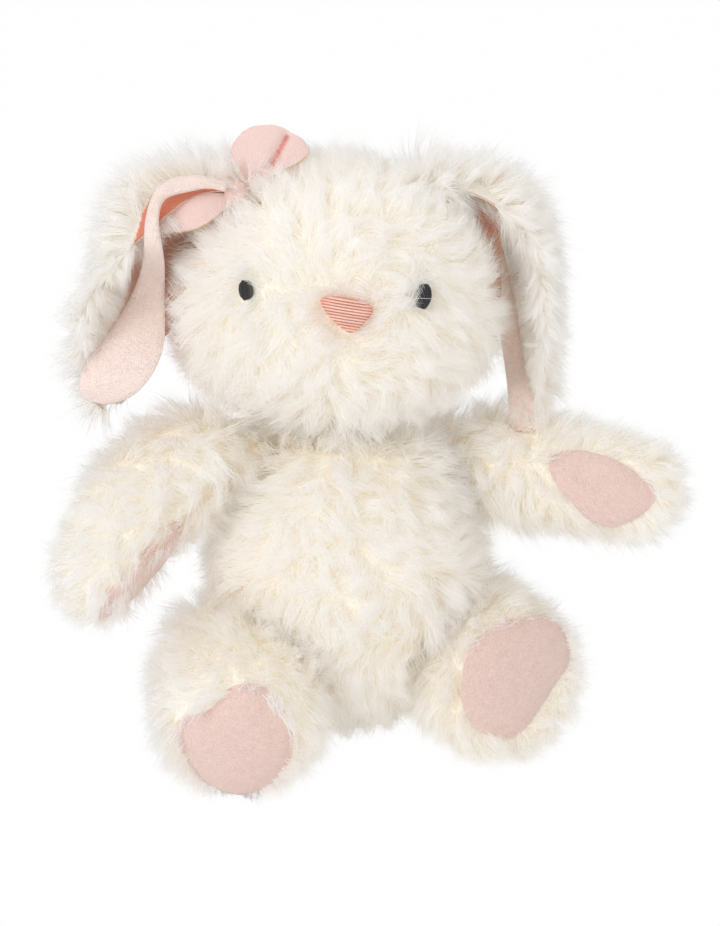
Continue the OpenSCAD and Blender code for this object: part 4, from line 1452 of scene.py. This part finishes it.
# %% The tuft over the knot
seam = SeenClearing([(226, 200), (240, 188), (254, 180), (270, 173), (290, 164), (300, 170),
                     (286, 186), (262, 202), (240, 216), (224, 214)])
roots, normals = scattered(skins["head"].data, DENSE * 1.6, rng)
near = seam.holds(roots) & (normals @ np.array(back) > -0.2)
over_knot = knot_at + np.array(back) * 9 * MM
pile("head_tuft_pile", "head", roots[near], normals[near],
     lambda points: unit(over_knot - points) + np.array([0, 0, 0.25]), 0.0125, cream_pile, seed=23,
     swirl=0.3, lean=1.1, wisps=0.06, jitter=0.4)

# %% [markdown]
# ## Pile of the limbs
# It runs from the joint to the pad. It is longest at the joint, where it closes the gap to the
# body, and shorter near the pad. Round the end of a limb the hairs stand sideways, so that they
# frame the pad and don't cover it.

# %% Pile of the limbs
JOINT_EXTRA, END_LESS = 0.005, 0.002
for side in ("left", "right"):
    for kind, joint in (("arm", "shoulder_"), ("leg", "hip_")):
        limb = f"{kind}_{side}"
        at, out, clearing = pads[f"{side}_{kind}"]
        way = unit(at - joints[joint + side])
        roots, normals = scattered(skins[limb].data, DENSE, rng)
        normals = np.where(((roots - at) @ out > -0.006)[:, None],
                           unit(normals - 0.5 * (normals @ out)[:, None] * out), normals)
        pile(f"{side}_{kind}_pile", limb, roots, normals,
             lambda p, way=way: np.tile(way + np.array([0, 0, -0.3]), (len(p), 1)),
             lambda p, root=joints[joint + side], end=at: BODY_LONG + JOINT_EXTRA * np.exp(
                 -(np.linalg.norm(p - root, axis=1) / 0.032) ** 4) - END_LESS * np.exp(
                 -(np.linalg.norm(p - end, axis=1) / 0.028) ** 4),
             cream_pile, seed=31 + len(limb) + (side == "left"), swirl=0.9, clearings=[clearing],
             lean=1.3)

# %% [markdown]
# ## Tufts in the corners
# Where limb and body part, one can look between two coats into the dark. A few more tufts of
# the body close the corners over the left hip and under the left arm.

# %% Tufts in the corners
roots, normals = scattered(skins["torso"].data, DENSE * 1.2, rng)
for name, x, y in (("hip_tuft_pile", 451, 605), ("armpit_tuft_pile", 449, 467)):
    corner = meet(tree_of("torso_front_panel", "torso_back_left_panel"), x, y)
    near = np.linalg.norm(roots - corner, axis=1) < 0.013
    pile(name, "torso", roots[near], normals[near], flow_down, 0.0135, cream_pile, seed=71,
         swirl=0.6, lean=1.0, wisps=0.05)

# %% [markdown]
# ## Floor and light
# The photograph is a studio cut-out: soft light from the upper left on pure white. The floor is
# white paper that shows near white to the camera and keeps a faint shadow. Pale pile needs many
# bounces of light, because each hair is lit mostly by its neighbours.

# %% Floor
def staged(name, points, faces, finish):
    made = solid(name, points, faces, finish, smooth=False)
    return made


paper = Finish("white_paper", Roughness=0.9)
paper.set(Base_Color=paper.mix(paper.noise(3).ramp(0.3, 0.7), rgb(250, 250, 250), rgb(251, 251, 251)))
sight = [paper.node("ShaderNodeLightPath", out=k) for k in (0, 3, 6)]
direct = sight[0].math("MAXIMUM", sight[1].math("MAXIMUM", sight[2])) * 0.99
paper.mixed_with(direct, paper.node("ShaderNodeEmission", {}, {"Strength": 1.0}))
FLOOR, FLOOR_LOW = 4.0, -0.0002
staged("floor", [(x * FLOOR, y * FLOOR, FLOOR_LOW) for x, y in ((-1, -1), (1, -1), (1, 1), (-1, 1))],
       [(0, 1, 2, 3)], paper.material)
print("floor", 2 * FLOOR, "m wide")

# %% Lamps
def lamp(name, at, size, power, colour=(1, 1, 1)):
    data = bpy.data.lights.new(name, "AREA")
    data.size, data.energy, data.color = size, power, colour
    made = bpy.data.objects.new(name, data)
    made.location = at
    made.rotation_euler = (AIM - Vector(at)).to_track_quat("-Z", "Y").to_euler()
    bpy.context.scene.collection.objects.link(made)


lamp("key", (-0.95, -0.75, 0.75), 0.7, 7.4, (0.95, 0.965, 1))
lamp("front", (-0.45, -1.1, 0.35), 0.9, 1.6)
lamp("fill", (0.95, -0.7, 0.45), 0.9, 2.3, (1, 0.95, 0.88))
lamp("top", (0.1, 0.5, 1.2), 0.9, 3.6)
print("lamps", [made.name for made in bpy.data.lights])

# %% [markdown]
# ## The world
# It lights the bunny softly from all round, at about half strength. To the camera alone it is
# white, so that the background is white without more light on the object. White pile also
# needs many bounces, or its depths would turn grey.

# %% The world
SKY_LIGHT, BOUNCES = 0.52, 32
world = bpy.data.worlds.new("studio")
bpy.context.scene.world = world
world.use_nodes = True
sky = world.node_tree.nodes["Background"]
sky.inputs[0].default_value = (1, 1, 1, 1)
sight = world.node_tree.nodes.new("ShaderNodeLightPath")
brightness = world.node_tree.nodes.new("ShaderNodeMath")
brightness.operation = "MULTIPLY_ADD"
brightness.inputs[1].default_value, brightness.inputs[2].default_value = 1 - SKY_LIGHT, SKY_LIGHT
world.node_tree.links.new(sight.outputs["Is Camera Ray"], brightness.inputs[0])
world.node_tree.links.new(brightness.outputs[0], sky.inputs[1])
bpy.context.scene.view_settings.view_transform = "Standard"
for kind in ("max", "diffuse", "transmission"):
    setattr(bpy.context.scene.cycles, kind + "_bounces", BOUNCES)
print("world", SKY_LIGHT, "with", BOUNCES, "bounces")

# %% [markdown]
# ## Image points
# Where things are in the photograph. At the end each is compared with where the finished
# pieces show, and the differences are printed.

# %% Image points
image_points = {
    "left_x": (43, None), "right_x": (692, None), "top_y": (None, 125), "bottom_y": (None, 802),
    "right_eye": (244, 290), "left_eye": (425, 296), "nose": (347, 312), "loop_top": (271, 125),
    "petal_tip": (161, 227), "right_sole": (236, 741), "left_sole": (517, 676),
    "left_arm_pad": (602, 489), "right_ear_tip": (101, 404), "left_ear_tip": (537, 432),
}


# %% How far the pieces show from their points
STRAYS = 120    # ribbons that may stand out past the edge of the coat


def shown_at(*pieces):
    """Image coordinates of every finished vertex of these pieces."""
    graph = bpy.context.evaluated_depsgraph_get()
    found = [points_of(bpy.data.objects[name].evaluated_get(graph).data) for name in pieces]
    return in_image(np.vstack(found))


def centre_of(*pieces):
    seen = shown_at(*pieces)
    return (seen.min(axis=0) + seen.max(axis=0)) / 2


def furthest(pieces, axis, side):
    """The place where a piece shows furthest along an image axis."""
    seen = shown_at(*pieces)
    return seen[(side * seen[:, axis]).argmax()]


def coat_edge(axis, side):
    """The edge of the whole coat: past it only a few stray ribbons show."""
    coats = [o.name for o in bpy.data.objects if o.name.endswith("_pile")]
    return -side * np.sort(-side * shown_at(*coats)[:, axis])[STRAYS]


seen = {
    "left_x": (coat_edge(0, -1), None), "right_x": (coat_edge(0, 1), None),
    "top_y": (None, furthest(["bow_upper_loop_felt"], 1, -1)[1]), "bottom_y": (None, coat_edge(1, 1)),
    "right_eye": centre_of("right_eye_stitches"), "left_eye": centre_of("left_eye_stitches"),
    "nose": centre_of("nose_stitches"), "loop_top": furthest(["bow_upper_loop_felt"], 1, -1),
    "petal_tip": furthest(["bow_lower_petal_felt"], 0, -1),
    "right_sole": centre_of("right_leg_sole_velour"),
    "left_sole": centre_of("left_leg_sole_velour"), "left_arm_pad": centre_of("left_arm_pad_velour"),
    "right_ear_tip": furthest(["right_ear_turned_lining"], 1, 1),
    "left_ear_tip": furthest(["left_ear_turned_lining"], 1, 1),
}
off = {name: [None if want is None else round(float(got - want), 1)
              for want, got in zip(point, seen[name])] for name, point in image_points.items()}
print(off)
